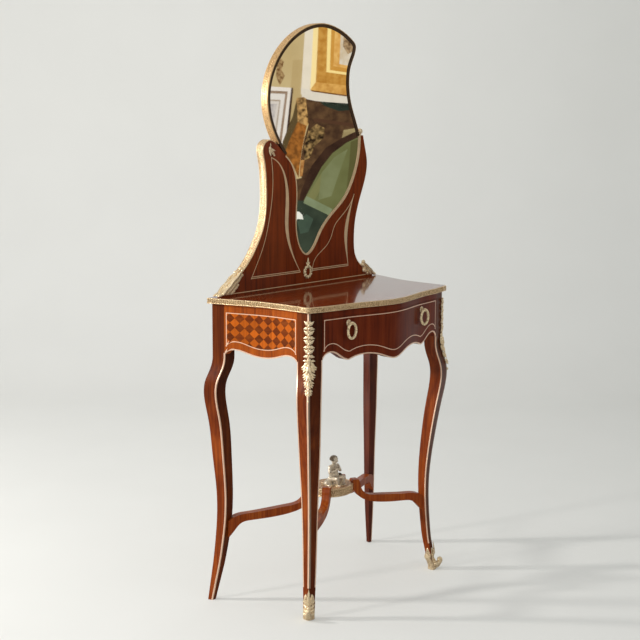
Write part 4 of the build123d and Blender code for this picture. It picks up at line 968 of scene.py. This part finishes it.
class POUDREUSE_OT_ring_handles(bpy.types.Operator):
    """Laurel rings that hang from the bosses."""

    bl_idname = "poudreuse.ring_handles"
    bl_label = "Ring Handles"

    def execute(self, context):
        turn, section = circle(240).T, circle(18)
        from_top = np.abs((turn + pi) % (2 * pi) - pi)
        leaves = 0.5 + 0.5 * np.cos(18 * from_top + 2.0 * np.cos(section * 3))
        tie = bell(from_top - pi / 2, 0.06) + bell(from_top - pi, 0.06)
        tube = 2.9 + 0.75 * leaves * (0.6 + 0.4 * np.abs(np.cos(section * 1.5))) - 0.5 * np.clip(tie, 0, 1)
        tube = np.where(from_top * RING_HALF[0] < 3.1, 1.95, np.minimum(tube, 3.6))
        ring = stacked((RING_HALF[0] + tube * np.cos(section)) * np.sin(turn), tube * np.sin(section),
                       (RING_HALF[1] + tube * np.cos(section)) * np.cos(turn) - RING_HALF[1])
        for name, side in SIDES:
            pin = np.array([side * HANDLE[0], *HANDLE[1:]])
            add_piece(f"ring_{name}_laurel", [hoop(ring + pin)], [f"ring_handle_{name}"], "ring_gilding",
                      f"ring_{name}")
            self.add_boss(name, pin)
        return {"FINISHED"}

    def add_boss(self, name, pin):
        """A petalled rosette against the drawer, and a knuckle for the ring's pin. The rosette is a disc whose
        height and edge follow the number of petals."""
        turn = circle(48)
        share = np.array([0.0, 0.2, 0.4, 0.6, 0.8, 0.95, 1.0])[:, None]
        petal = 0.5 + 0.5 * np.cos(turn * 8)
        radius = 8.4 * share * (0.86 + 0.14 * petal ** 0.5)
        height = 3.2 * np.sqrt(np.clip(1 - share**2, 0, 1)) * (0.72 + 0.28 * petal) + 0.3
        skin = stacked(radius * np.cos(turn), -height, radius * np.sin(turn))
        rosette = np.concatenate([skin, skin[::-1] * (1, 0, 1) + (0, 1.2, 0)]) + pin + (0, 11.0, 0)
        swell = 4.4 * np.array([0.55, 0.9, 1, 0.93, 0.9, 0.93, 1, 0.9, 0.55])[:, None]
        knuckle = pin + stacked(np.linspace(-2.5, 2.5, 9)[:, None], swell * np.cos(turn), swell * np.sin(turn))
        neck = limb(pin + (0, 2, 0), pin + (0, 11.0, 0), 2.4, 3.6)
        add_piece(f"boss_{name}_petalled", [pod(rosette), pod(knuckle), pod(neck)], [f"handle_boss_{name}"],
                  body="drawer")


def claw(name, side):
    """A foot mount is a fan of long leaves that start at the board's corner and lie over its end and up its
    flank; their outer ends roll down on the tabletop."""
    flank = LEFT_FLANK if side < 0 else RIGHT_FLANK[::-1]
    reach, curl = (84.0, 0.9) if side < 0 else (56.0, 1.45)
    depth = BOARD_BACK_Y - BOARD_FRONT_Y
    path = board_path(flank[:5], 400)
    run, outward = lengths(path), square_to(path) * -side

    def over_end(points):
        u, v, height = points[..., 0], points[..., 1], points[..., 2:]
        spot = read_along(v, run, path) + read_along(v, run, outward) * height
        spot += np.clip(-v, 0, None)[..., None] * (side * 1.0, 0, -0.25)
        return stacked(spot[..., 0], spot[..., 1] + u, np.maximum(spot[..., 2], TOP_Z))

    shapes = []
    for share, length, start in ((0.12, 1.10, -19.0), (0.48, 1.28, -15.0), (0.82, 1.15, -18.0)):
        tip = start + reach * length - 3.0
        shapes += [laid(over_end, finger(reach * length, 8.4, 7.5), (depth * share, start, 0.8, 0, 1.0)),
                   laid(over_end, bead(4.6, 5.0, 4.6, 9, 14), (depth * share, tip, 2.6, 0, curl))]
    low, high = on_board_point(flank[0]), on_board_point(flank[2])
    lean = np.arctan2(low[0] - high[0], high[1] - low[1])
    for along, length, width in ((-7.0, 1.05, 8.6), (6.0, 0.84, 8.4), (19.0, 0.40, 7.4)):
        x, z, length = low[0] - side * along, TOP_Z + 5.0, reach * length
        tip = (x - np.sin(lean) * length, z + np.cos(lean) * length)
        shapes += [laid(on_board, finger(length, width, 6.5), (x, z, 0.4, lean, 1.0)),
                   laid(on_board, bead(3.8, 3.8, 3.2, 9, 14), (*tip, 1.6, 0, curl * 1.1))]
    add_piece(f"leaf_claw_{name}", shapes, [f"leaf_mount_{name}"])


def crest():
    """A leaf spray with side leaves at the head of the tall arm."""
    x, z = on_board_point((-20.2, 52.3))
    lean = radians(-138)
    add_piece("crest_leaf", [
        laid(on_board, leaf(26.0, 9.5, 2.4, 2.2, 3, 12, 12), (x - 8, z + 8, 1.2, lean, 1.0)),
        laid(on_board, leaf(17.0, 7.0, 2.0, 2.6), (x - 7, z + 7, 1.0, lean + 0.55, 1.05),
             (x - 9, z + 6, 1.0, lean - 0.55, 1.05), (x - 5, z + 12, 1.6, lean + 2.6, 0.6)),
        laid(on_board, bead(4.0, 5.0, 3.6), (x - 8, z + 8, 2.0, 0, 1.0), (x + 7, z - 9, 1.6, lean, 0.7)),
    ], ["crest_mount"])


def wreath():
    """A laurel wreath, a ring whose tube swells leaf by leaf, hung from a bud with side leaves."""
    x, z = on_board_point((3.6, 5.3))
    turn, section = circle(120).T, circle(12)
    tube = 4.05 + 0.75 * np.cos(turn * 12 + 1.6 * np.cos(section))
    ring = stacked(x + (12.0 + tube * np.cos(section)) * np.sin(turn),
                   BOARD_FRONT_Y - np.abs(tube * np.sin(section)) + 0.1,
                   z + (14.0 + tube * np.cos(section)) * np.cos(turn))
    add_piece("wreath_chased", [
        hoop(ring),
        laid(on_board, leaf(20.0, 7.5, 2.2, 0.6), (x, z + 17, 1.0, 0.0, 1.0), (x, z + 16, 0.9, 0.7, 0.6),
             (x, z + 16, 0.9, -0.7, 0.6)),
        laid(on_board, bead(3.0, 4.0, 2.6), (x, z + 17, 1.4, 0, 1.0), (x, z - 14, 2.2, 0, 0.9)),
    ], ["wreath_mount"], "ring_gilding")


def finial():
    """A turned finial: radius against height is a disc, a neck and a ball."""
    low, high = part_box("ball_finial")
    tilt = np.linspace(-0.38 * pi, 0.49 * pi, 16)
    z = np.concatenate([[0, 0.8, 1.6, 2.4, 3.6], 11.0 + 8.0 * np.sin(tilt)])[:, None]
    radius = np.concatenate([[5.6, 6.2, 5.8, 3.6, 3.0], 8.0 * np.cos(tilt)])[:, None]
    turn = circle(28)
    points = stacked(radius * np.cos(turn), radius * np.sin(turn), z)
    centre = ((low.x + high.x) * 500, BOARD_FRONT_Y + 6.0, low.z * 1000)
    add_piece("finial_turned", [pod(points + centre)], ["ball_finial"])


class POUDREUSE_OT_board_mounts(bpy.types.Operator):
    """Leaf claws at the board's feet, the crest leaf, the wreath under the opening, and the finial."""

    bl_idname = "poudreuse.board_mounts"
    bl_label = "Board Mounts"

    def execute(self, context):
        for name, side in SIDES:
            claw(name, side)
        crest()
        wreath()
        finial()
        return {"FINISHED"}


class POUDREUSE_OT_stretcher_mounts(bpy.types.Operator):
    """Fluted rim and leafy plate of the stretcher's platform."""

    bl_idname = "poudreuse.stretcher_mounts"
    bl_label = "Stretcher Mounts"

    def execute(self, context):
        turn = circle(720)[0]
        half_x, half_y = PLATFORM_HALF
        path = stacked(half_x * np.cos(turn), half_y * np.sin(turn), -20.0) + PLATFORM
        outward = unit(stacked(np.cos(turn) / half_x, np.sin(turn) / half_y, 0.0))
        rim = moulding(path, np.array([0.0, 0.0, 1.0]), outward, RIM_HEIGHT, BAND_PROUD, rim_relief, closed=True)
        add_piece("platform_rim_fluted", [rim], ["platform_rim"], "gilt_band")
        share = np.concatenate([np.linspace(0.0, 0.985, 46), [1.0, 1.0]])[:, None]
        way = turn[None, ::3]
        petals = np.abs(np.cos(way * 8 + 2.4 * share))
        height = 0.5 + petals * np.sin(pi * share) ** 0.5 + 0.5 * np.cos(share * 26) * (share > 0.7)
        height[-1] = 0.0
        plate = stacked(half_x * share * np.cos(way), half_y * share * np.sin(way), height) + PLATFORM
        under = plate[-2::-6] * (1, 1, 0) + (0, 0, PLATFORM[2])
        add_piece("platform_plate", [pod(np.concatenate([plate, under]))], finish="plate_gilding")
        return {"FINISHED"}


# Each row is a limb's start, end and two radii: trunk, shoulders, chest, neck, head, hips and face; then one
# side's arm, hand, thigh, shin and foot; then the mound
TRUNK = (
    (0, 1, 19, 0, 2, 44, 10.0, 8.6), (-5.5, 1, 45, 5.5, 1, 45, 6.4, 6.4), (0, -3.5, 25, 0, -3.0, 33, 7.8, 6.6),
    (0, 1, 50, 0, 0, 57, 3.8, 3.5), (0, -0.6, 62, 0, -0.4, 67, 6.9, 7.4), (-6, 2, 16, 6, 2, 16, 7.6, 7.6),
    (0, -7.4, 64.0, 0, -8.4, 62.4, 1.1, 1.3), (-3.6, -5.2, 61, -3.4, -5.4, 60, 2.6, 2.6),
    (3.6, -5.2, 61, 3.4, -5.4, 60, 2.6, 2.6), (0, -6.0, 57.6, 0, -5.6, 58.4, 2.2, 2.2),
)
ARM_AND_LEG = (
    (11, 1, 47, 15.5, -3, 34, 4.6, 3.7), (15.5, -3, 34, 6, -12, 39, 3.7, 2.7),
    (5, -12.5, 40, 3.4, -13, 43, 2.9, 2.2), (5.5, -2, 15, 9.5, -18, 20, 7.2, 5.4),
    (9.5, -18, 20, 8.0, -20, 5, 5.2, 3.2), (8.0, -19, 3.4, 8.6, -25, 2.8, 3.2, 2.4),
)
MOUND = ((-14, 4, 5, 14, 4, 5, 9, 9), (0, 14, 3, 0, -6, 4, 9, 8), (-16, -4, 1, 16, 8, 1, 6, 6))


class POUDREUSE_OT_putto(bpy.types.Operator):
    """A seated child with curled hair on a leafy mound, from rounded limbs merged into one skin."""

    bl_idname = "poudreuse.putto"
    bl_label = "Putto"

    def execute(self, context):
        base = np.array(PLATFORM) + (3.0, -4.0, 0.0)
        grow = np.array([1.28, 1.2, 1.04])
        rows = np.concatenate([TRUNK, *(np.array(ARM_AND_LEG) * (side, 1, 1, side, 1, 1, 1, 1) for _, side in SIDES),
                               MOUND])
        shapes = [pod(limb(row[:3], row[3:6], *row[6:]) * grow + base) for row in rows]
        figure = add_piece("putto_chased", shapes, ["putto"])
        add_piece("putto_hair", [pod(self.curls() * grow + base)], finish="dark_patina")
        bundle = bead(7.4, 7.0, 7.2, 12, 18) + base + (15.5, -6.0, 22.0)
        add_piece("putto_bundle", [pod(bundle)], finish="dark_patina")
        remesh = figure.modifiers.new("merge", "REMESH")
        remesh.mode = "VOXEL"
        remesh.voxel_size = 0.0007
        smooth = figure.modifiers.new("soften", "SMOOTH")
        smooth.factor, smooth.iterations = 0.5, 3
        merged = bpy.data.meshes.new_from_object(figure.evaluated_get(context.evaluated_depsgraph_get()))
        figure.modifiers.clear()
        figure.data = merged
        merged.shade_smooth()
        merged.materials.clear()
        merged.materials.append(gilt("putto_gilding"))
        self.leaves(base)
        return {"FINISHED"}

    def curls(self):
        """Small knots of hair spread evenly over the crown and back of the head by the golden angle."""
        count = np.arange(64)
        level = 1 - count / 64 * 1.25
        turn = count * 2.39996
        flat = np.sqrt(np.clip(1 - level**2, 0, 1))
        spots = stacked(7.4 * flat * np.sin(turn), 0.6 + 7.6 * flat * np.cos(turn), 65.0 + 8.2 * level)
        spots = spots[(spots[:, 1] > -3.5) | (spots[:, 2] > 70.0)]
        return bead(1.9, 1.9, 1.9, 6, 8) + spots[:, None, None]

    def leaves(self, base):
        """Leaves that lie round the mound, tips outward."""
        turn = circle(12)[0]
        moves = stacked(-16.0 * np.sin(turn), 13.0 * np.cos(turn), 1.6, turn, 1)
        add_piece("putto_leaves", [pod(placed(leaf(20.0, 9.0, 1.8, 1.4, 3, 10, 12), moves) + base)])


# ---------------------------------------------------------------- studio

CAMERA_PLACE = Vector((-2.6588, -2.2831, 1.2666))
CAMERA_TURN = radians(48.349)
CAMERA_DIP = radians(9.247)
CAMERA_ROLL = radians(0.197)
FOCAL_PIXELS = 1400.8
HALF_PICTURE = 320
BACK_LIGHT = (1.0, 0.98, 0.95)

# Name, place, target, width, height, power and colour
LIGHTS = (
    ("window_back_left", (-2.3, 2.5, 1.6), (0.0, 0.0, 0.5), 0.2, 0.25, 84.0, BACK_LIGHT),
    ("window_far_left", (-3.3, 1.3, 1.7), (0.0, 0.0, 0.5), 0.3, 0.35, 42.0, BACK_LIGHT),
    ("window_left", (-3.4, -1.1, 2.3), (0.0, 0.0, 0.7), 2.4, 2.6, 22.0, (1.0, 0.985, 0.96)),
    ("soft_front", (-0.6, -4.2, 2.6), (0.0, 0.0, 0.7), 2.6, 2.0, 20.0, (1.0, 0.99, 0.98)),
    ("soft_top", (0.2, 0.4, 4.0), (0.0, 0.0, 0.0), 3.0, 3.0, 22.0, (1.0, 1.0, 1.0)),
)

# The room that the mirror shows, as a painted reflection: glowing cards, far to near, laid out for the main camera
# alone. Each card has its colour, for some a second colour and the fineness of the mottling, and its corners as that
# camera sees them: across and down
ROOM = (
    ("wall", (202, 182, 136), (192, 168, 118), 2.0, (225, -20, 400, -20, 400, 300, 225, 300)),
    ("wall_shade", (189, 165, 116), (292, 60, 303, 60, 299, 130, 286, 160, 288, 110)),
    ("pilaster", (232, 222, 202), (307, -20, 316, -20, 309, 94, 300, 94)),
    ("under_frame", (224, 216, 200), (300, 88, 312, 90, 350, 95, 350, 106, 302, 104)),
    ("sconce", (110, 76, 44), (190, 160, 112), 70.0, (276, 66, 280, 58, 283, 62, 281, 70, 284, 76, 279, 86, 275, 76)),
    ("print_frame", (232, 224, 214), (230, 84, 291.5, 88, 284, 158, 230, 158)),
    ("print_frame_edge", (60, 40, 30), (290.5, 88, 292.5, 88, 286, 158, 283, 158)),
    ("print_shadow", (150, 126, 104), (230, 89, 287, 91.5, 280, 150, 230, 150)),
    ("print_mount", (226, 220, 212), (230, 92, 284.5, 94, 277.5, 150, 230, 150)),
    ("print_slip", (176, 160, 142), (230, 98, 280, 100, 275, 140, 230, 140)),
    ("print_sheet", (216, 208, 198), (230, 100, 278.5, 101.5, 273.5, 138, 230, 138)),
    ("print_figure", (176, 168, 166), (205, 198, 190), 50.0, (230, 104, 276, 104, 272, 128, 230, 128)),
    ("gilt_frame", (206, 154, 74), (184, 128, 52), 40.0, (314.5, -20, 380, -20, 380, 100, 347, 95, 309.5, 90)),
    ("gilt_edge", (252, 228, 162), (314.5, -20, 319.5, -20, 315, 82, 309.5, 90)),
    ("gilt_foot", (196, 140, 66), (226, 176, 96), 30.0, (315, 82, 350, 86, 350, 95.5, 309.5, 90)),
    ("gilt_foot_edge", (112, 72, 28), (309.5, 90, 350, 95.5, 350, 97, 311, 91.5)),
    ("gilt_ridge", (252, 226, 150), (328, -20, 332, -20, 329, 70, 350, 73, 350, 75.5, 325.5, 72)),
    ("gilt_hollow", (206, 150, 68), (332, -20, 336, -20, 332.5, 66, 350, 69, 350, 73, 329, 70)),
    ("gilt_inner", (236, 190, 112), (216, 160, 82), 40.0,
     (336, -20, 342, -20, 338.5, 64, 350, 66, 350, 69, 332.5, 66)),
    ("gilt_picture", (224, 214, 196), (208, 190, 160), 30.0, (342, -20, 380, -20, 380, 66, 350, 66, 338.5, 64)),
    ("gilt_figure", (96, 70, 46), (190, 160, 120), 60.0, (343, 34, 350, 38, 354, 50, 347, 54, 342, 46)),
    ("carved_head", (72, 50, 30), (206, 162, 100), 55.0,
     (296, 98, 303, 97, 309, 101, 312, 118, 305, 128, 297, 126, 293, 112)),
    ("carved_side", (176, 112, 50), (118, 74, 34), 45.0,
     (297, 122, 306, 126, 302, 146, 299, 166, 298, 178, 292, 164, 280, 160, 288, 140)),
    ("carved_back", (92, 76, 48), (296, 100, 297, 122, 288, 142, 280, 166, 282, 142, 292, 116)),
    ("carved_dark", (100, 74, 50), (68, 48, 35), 26.0,
     (305, 99, 315, 101, 347, 104, 400, 108, 400, 300, 280, 300, 292, 180, 301, 178, 300, 160, 303, 142, 308, 124)),
    ("carved_top", (52, 62, 52), (40, 46, 38), 20.0, (319, 101.5, 349, 103.5, 349, 110, 338, 111, 324, 106)),
    ("carved_band", (84, 58, 42), (314, 118, 356, 124, 356, 127, 313, 121.5)),
    ("carved_leaves", (170, 138, 88), (40, 28, 20), 60.0,
     (308, 130, 316, 124, 324, 128, 323, 138, 314, 146, 309, 158, 304, 160, 303, 148)),
    ("carved_strip", (196, 146, 86), (150, 96, 50), 40.0, (300, 160, 304, 160, 302, 176, 299, 177)),
    ("carved_light", (176, 160, 116), (150, 132, 92), 30.0, (343, 130, 360, 127, 358, 131, 350, 134, 341, 139)),
    ("carved_slope", (50, 34, 27), (66, 46, 35), 18.0,
     (296, 212, 301, 190, 311, 166, 325, 148, 341, 138, 360, 129, 400, 120, 400, 300, 296, 300)),
    ("second_glass", (116, 120, 78), (98, 100, 60), 5.0,
     (303, 201, 312, 184, 321, 167, 332, 153, 346, 142.5, 361, 135.5, 400, 120, 400, 300, 300, 300)),
    ("second_left", (124, 124, 80), (306, 198, 315, 183, 323, 170, 320, 190, 313, 202)),
    ("second_mist", (127, 133, 96), (116, 121, 82), 8.0,
     (321, 173, 334, 157, 347, 149, 339, 172, 331, 196, 318, 200)),
    ("second_edge", (92, 90, 54), (350, 142, 361, 137, 361, 160, 346, 190, 349, 160)),
    ("second_low", (64, 74, 60), (48, 56, 46), 10.0,
     (290, 200, 305, 201, 329, 216, 400, 222, 400, 300, 290, 300)),
    ("second_ledge", (134, 146, 114), (120, 130, 96), 12.0, (306, 196, 332, 209, 329, 215.5, 303, 203)),
    ("second_panel", (74, 92, 76), (64, 78, 66), 10.0, (297, 222, 306, 214, 313, 219, 308, 232, 300, 234)),
    ("white_shape", (236, 236, 226), (295, 211, 299, 212, 302, 215, 303, 219.5, 297, 219, 295, 224)),
)
ROOM_DEPTH, ROOM_STEP = 7.4, 0.05


def camera_axes():
    """Right, up and forward directions of the camera."""
    forward = Vector((sin(CAMERA_TURN) * cos(CAMERA_DIP), cos(CAMERA_TURN) * cos(CAMERA_DIP), -sin(CAMERA_DIP)))
    right = forward.cross(Vector((0, 0, 1))).normalized()
    return right, right.cross(forward), forward


def add_holder(scene, name, data, place, turn):
    holder = bpy.data.objects.new(name, data)
    holder.location, holder.rotation_euler = place, turn
    scene.collection.objects.link(holder)
    return holder


def sky(world):
    """Even fill light, dim to glossy rays, and pale to the camera and through glass."""
    finish = Finish("studio", world)
    camera, through_glass, glossy = (
        finish.node("LightPath", output=f"Is {kind} Ray") for kind in ("Camera", "Transmission", "Glossy"))
    fill, dim, seen = (finish.node("Background", colour, strength) for colour, strength in (
        ((0.93, 0.95, 1.0), 0.46), ((0.20, 0.18, 0.15), 0.8), ((0.70, 0.70, 0.64), 1.0)))
    light = finish.node("MixShader", glossy, fill, dim)
    finish.end(finish.node("MixShader", camera.larger(through_glass), light, seen))


def paper(right, ahead):
    """Studio paper: lit like paper, and helped to a pale tone for the camera by a glow that is paler at the left and
    darker at the right, as painted light; dark near the front for glossy rays."""
    finish = Finish("studio_paper")
    tone = finish.ramp(finish.noise(3.0, 2.0), (0.3, (0.735, 0.735, 0.705)), (0.7, (0.755, 0.755, 0.725)))
    sheet = finish.node("BsdfPrincipled", Base_Color=tone, Roughness=0.85, Specular_IOR_Level=0.2)
    x, y, _ = finish.axes()
    share = ((x * right.x + y * right.y) / 3.0 + 0.5).clipped()
    # Painted light: the camera's glow falls from pale at the left to darker at the right.
    pale = finish.ramp(share, (0.05, (0.80, 0.80, 0.74)), (0.5, (0.82, 0.82, 0.76)), (0.95, (0.60, 0.61, 0.55)))
    camera, glossy = (finish.node("LightPath", output=f"Is {kind} Ray") for kind in ("Camera", "Glossy"))
    near = (1.3 - (x * ahead.x + y * ahead.y)).clipped()
    dimmed = finish.node("MixShader", glossy * near * 0.85, sheet, finish.glow((0.10, 0.075, 0.055)))
    return finish.end(finish.node("MixShader", camera * 0.3, dimmed, finish.glow(pale)))


def backdrop():
    """A floor that curves up into a wall behind the table: a quarter circle between two flats, carried along
    the camera's right direction."""
    turn, bend = np.linspace(0, pi / 2, 25), 1.2
    along = np.concatenate([[-6.0, 0.0, 1.6], 2.2 + bend * np.sin(turn), [2.2 + bend]])[:, None, None]
    rise = np.concatenate([[0.0, 0.0, 0.0], bend - bend * np.cos(turn), [5.0]])[:, None, None]
    spread = np.linspace(-6.0, 6.0, 25)[:, None]
    right, _, forward = camera_axes()
    ahead = Vector((forward.x, forward.y, 0)).normalized()
    grid = along * np.array(ahead) + spread * np.array(right) + rise * np.array((0, 0, 1.0))
    rows, columns = grid.shape[:2]
    here = np.arange(rows - 1)[:, None] * columns + np.arange(columns - 1)
    faces = stacked(here, here + 1, here + columns + 1, here + columns).reshape(-1, 4)
    floor = add_object("studio_floor", grid.reshape(-1, 3).tolist(), faces.tolist(), paper(right, ahead))
    floor.data.shade_smooth()


def reflected_room():
    """Glowing cards that only mirrors and polish see, a painted reflection of a room: each is drawn behind the glass,
    on a plane that faces the main camera, and then reflected in the plane of the glass. They line up for that camera
    alone."""
    right, up, forward = camera_axes()
    glass_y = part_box("mirror_glass")[0].y
    for place, (name, *look, corners) in enumerate(ROOM):
        points = []
        for x, y in zip(corners[::2], corners[1::2]):
            ray = forward + right * ((x - HALF_PICTURE) / FOCAL_PIXELS) + up * ((HALF_PICTURE - y) / FOCAL_PIXELS)
            spot = CAMERA_PLACE + ray * (ROOM_DEPTH - ROOM_STEP * place)
            points.append((spot.x, 2 * glass_y - spot.y, spot.z))
        name = f"room_{name}"
        card = add_object(name, points, [tuple(range(len(points)))], card_finish(name, *look))
        card.visible_camera = card.visible_diffuse = card.visible_shadow = False


class POUDREUSE_OT_studio(bpy.types.Operator):
    """Pale floor and backdrop, soft light from the left, camera, and the room that the mirror sees."""

    bl_idname = "poudreuse.studio"
    bl_label = "Studio"

    def execute(self, context):
        scene = context.scene
        scene.view_settings.view_transform = "Standard"
        scene.world = bpy.data.worlds.new("studio")
        sky(scene.world)
        backdrop()
        for name, place, target, width, height, power, colour in LIGHTS:
            lamp = bpy.data.lights.new(name, "AREA")
            lamp.shape = "RECTANGLE"
            lamp.size, lamp.size_y, lamp.energy, lamp.color = width, height, power, colour
            add_holder(scene, name, lamp, place, (Vector(target) - Vector(place)).to_track_quat("-Z", "Y").to_euler())
        reflected_room()
        camera = bpy.data.cameras.new("camera")
        camera.sensor_width = 36.0
        camera.lens = sizes().camera_lens
        _, _, forward = camera_axes()
        look = forward.to_track_quat("-Z", "Y").to_matrix().to_4x4()
        scene.camera = add_holder(scene, "camera", camera, CAMERA_PLACE, look.to_euler())
        scene.camera.rotation_euler.rotate_axis("Z", CAMERA_ROLL)
        return {"FINISHED"}


# ---------------------------------------------------------------- panel

STEPS = (
    POUDREUSE_OT_woods,
    POUDREUSE_OT_tabletop_band,
    POUDREUSE_OT_board_bands,
    POUDREUSE_OT_chutes,
    POUDREUSE_OT_sabots,
    POUDREUSE_OT_ring_handles,
    POUDREUSE_OT_board_mounts,
    POUDREUSE_OT_stretcher_mounts,
    POUDREUSE_OT_putto,
    POUDREUSE_OT_studio,
)


class POUDREUSE_PT_panel(bpy.types.Panel):
    """Sizes, colours and building steps of the dressing table."""

    bl_label = "Poudreuse"
    bl_idname = "POUDREUSE_PT_panel"
    bl_space_type = "VIEW_3D"
    bl_region_type = "UI"
    bl_category = "Poudreuse"

    def draw(self, context):
        for group in (finishes(), sizes()):
            box = self.layout.box()
            for key in group.bl_rna.properties.keys():
                if key not in ("rna_type", "name"):
                    box.prop(group, key)
        for step in STEPS:
            self.layout.operator(step.bl_idname)


CLASSES = (PoudreuseFinishes, PoudreuseSizes, *STEPS, POUDREUSE_PT_panel)


def register():
    for kind in CLASSES:
        bpy.utils.register_class(kind)
    bpy.types.Scene.poudreuse_finishes = PointerProperty(type=PoudreuseFinishes)
    bpy.types.Scene.poudreuse_sizes = PointerProperty(type=PoudreuseSizes)


def unregister():
    del bpy.types.Scene.poudreuse_sizes
    del bpy.types.Scene.poudreuse_finishes
    for kind in reversed(CLASSES):
        bpy.utils.unregister_class(kind)


def main():
    register()
    for step in STEPS:
        group, action = step.bl_idname.split(".")
        getattr(getattr(bpy.ops, group), action)()
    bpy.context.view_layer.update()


if __name__ == "__main__":
    main()
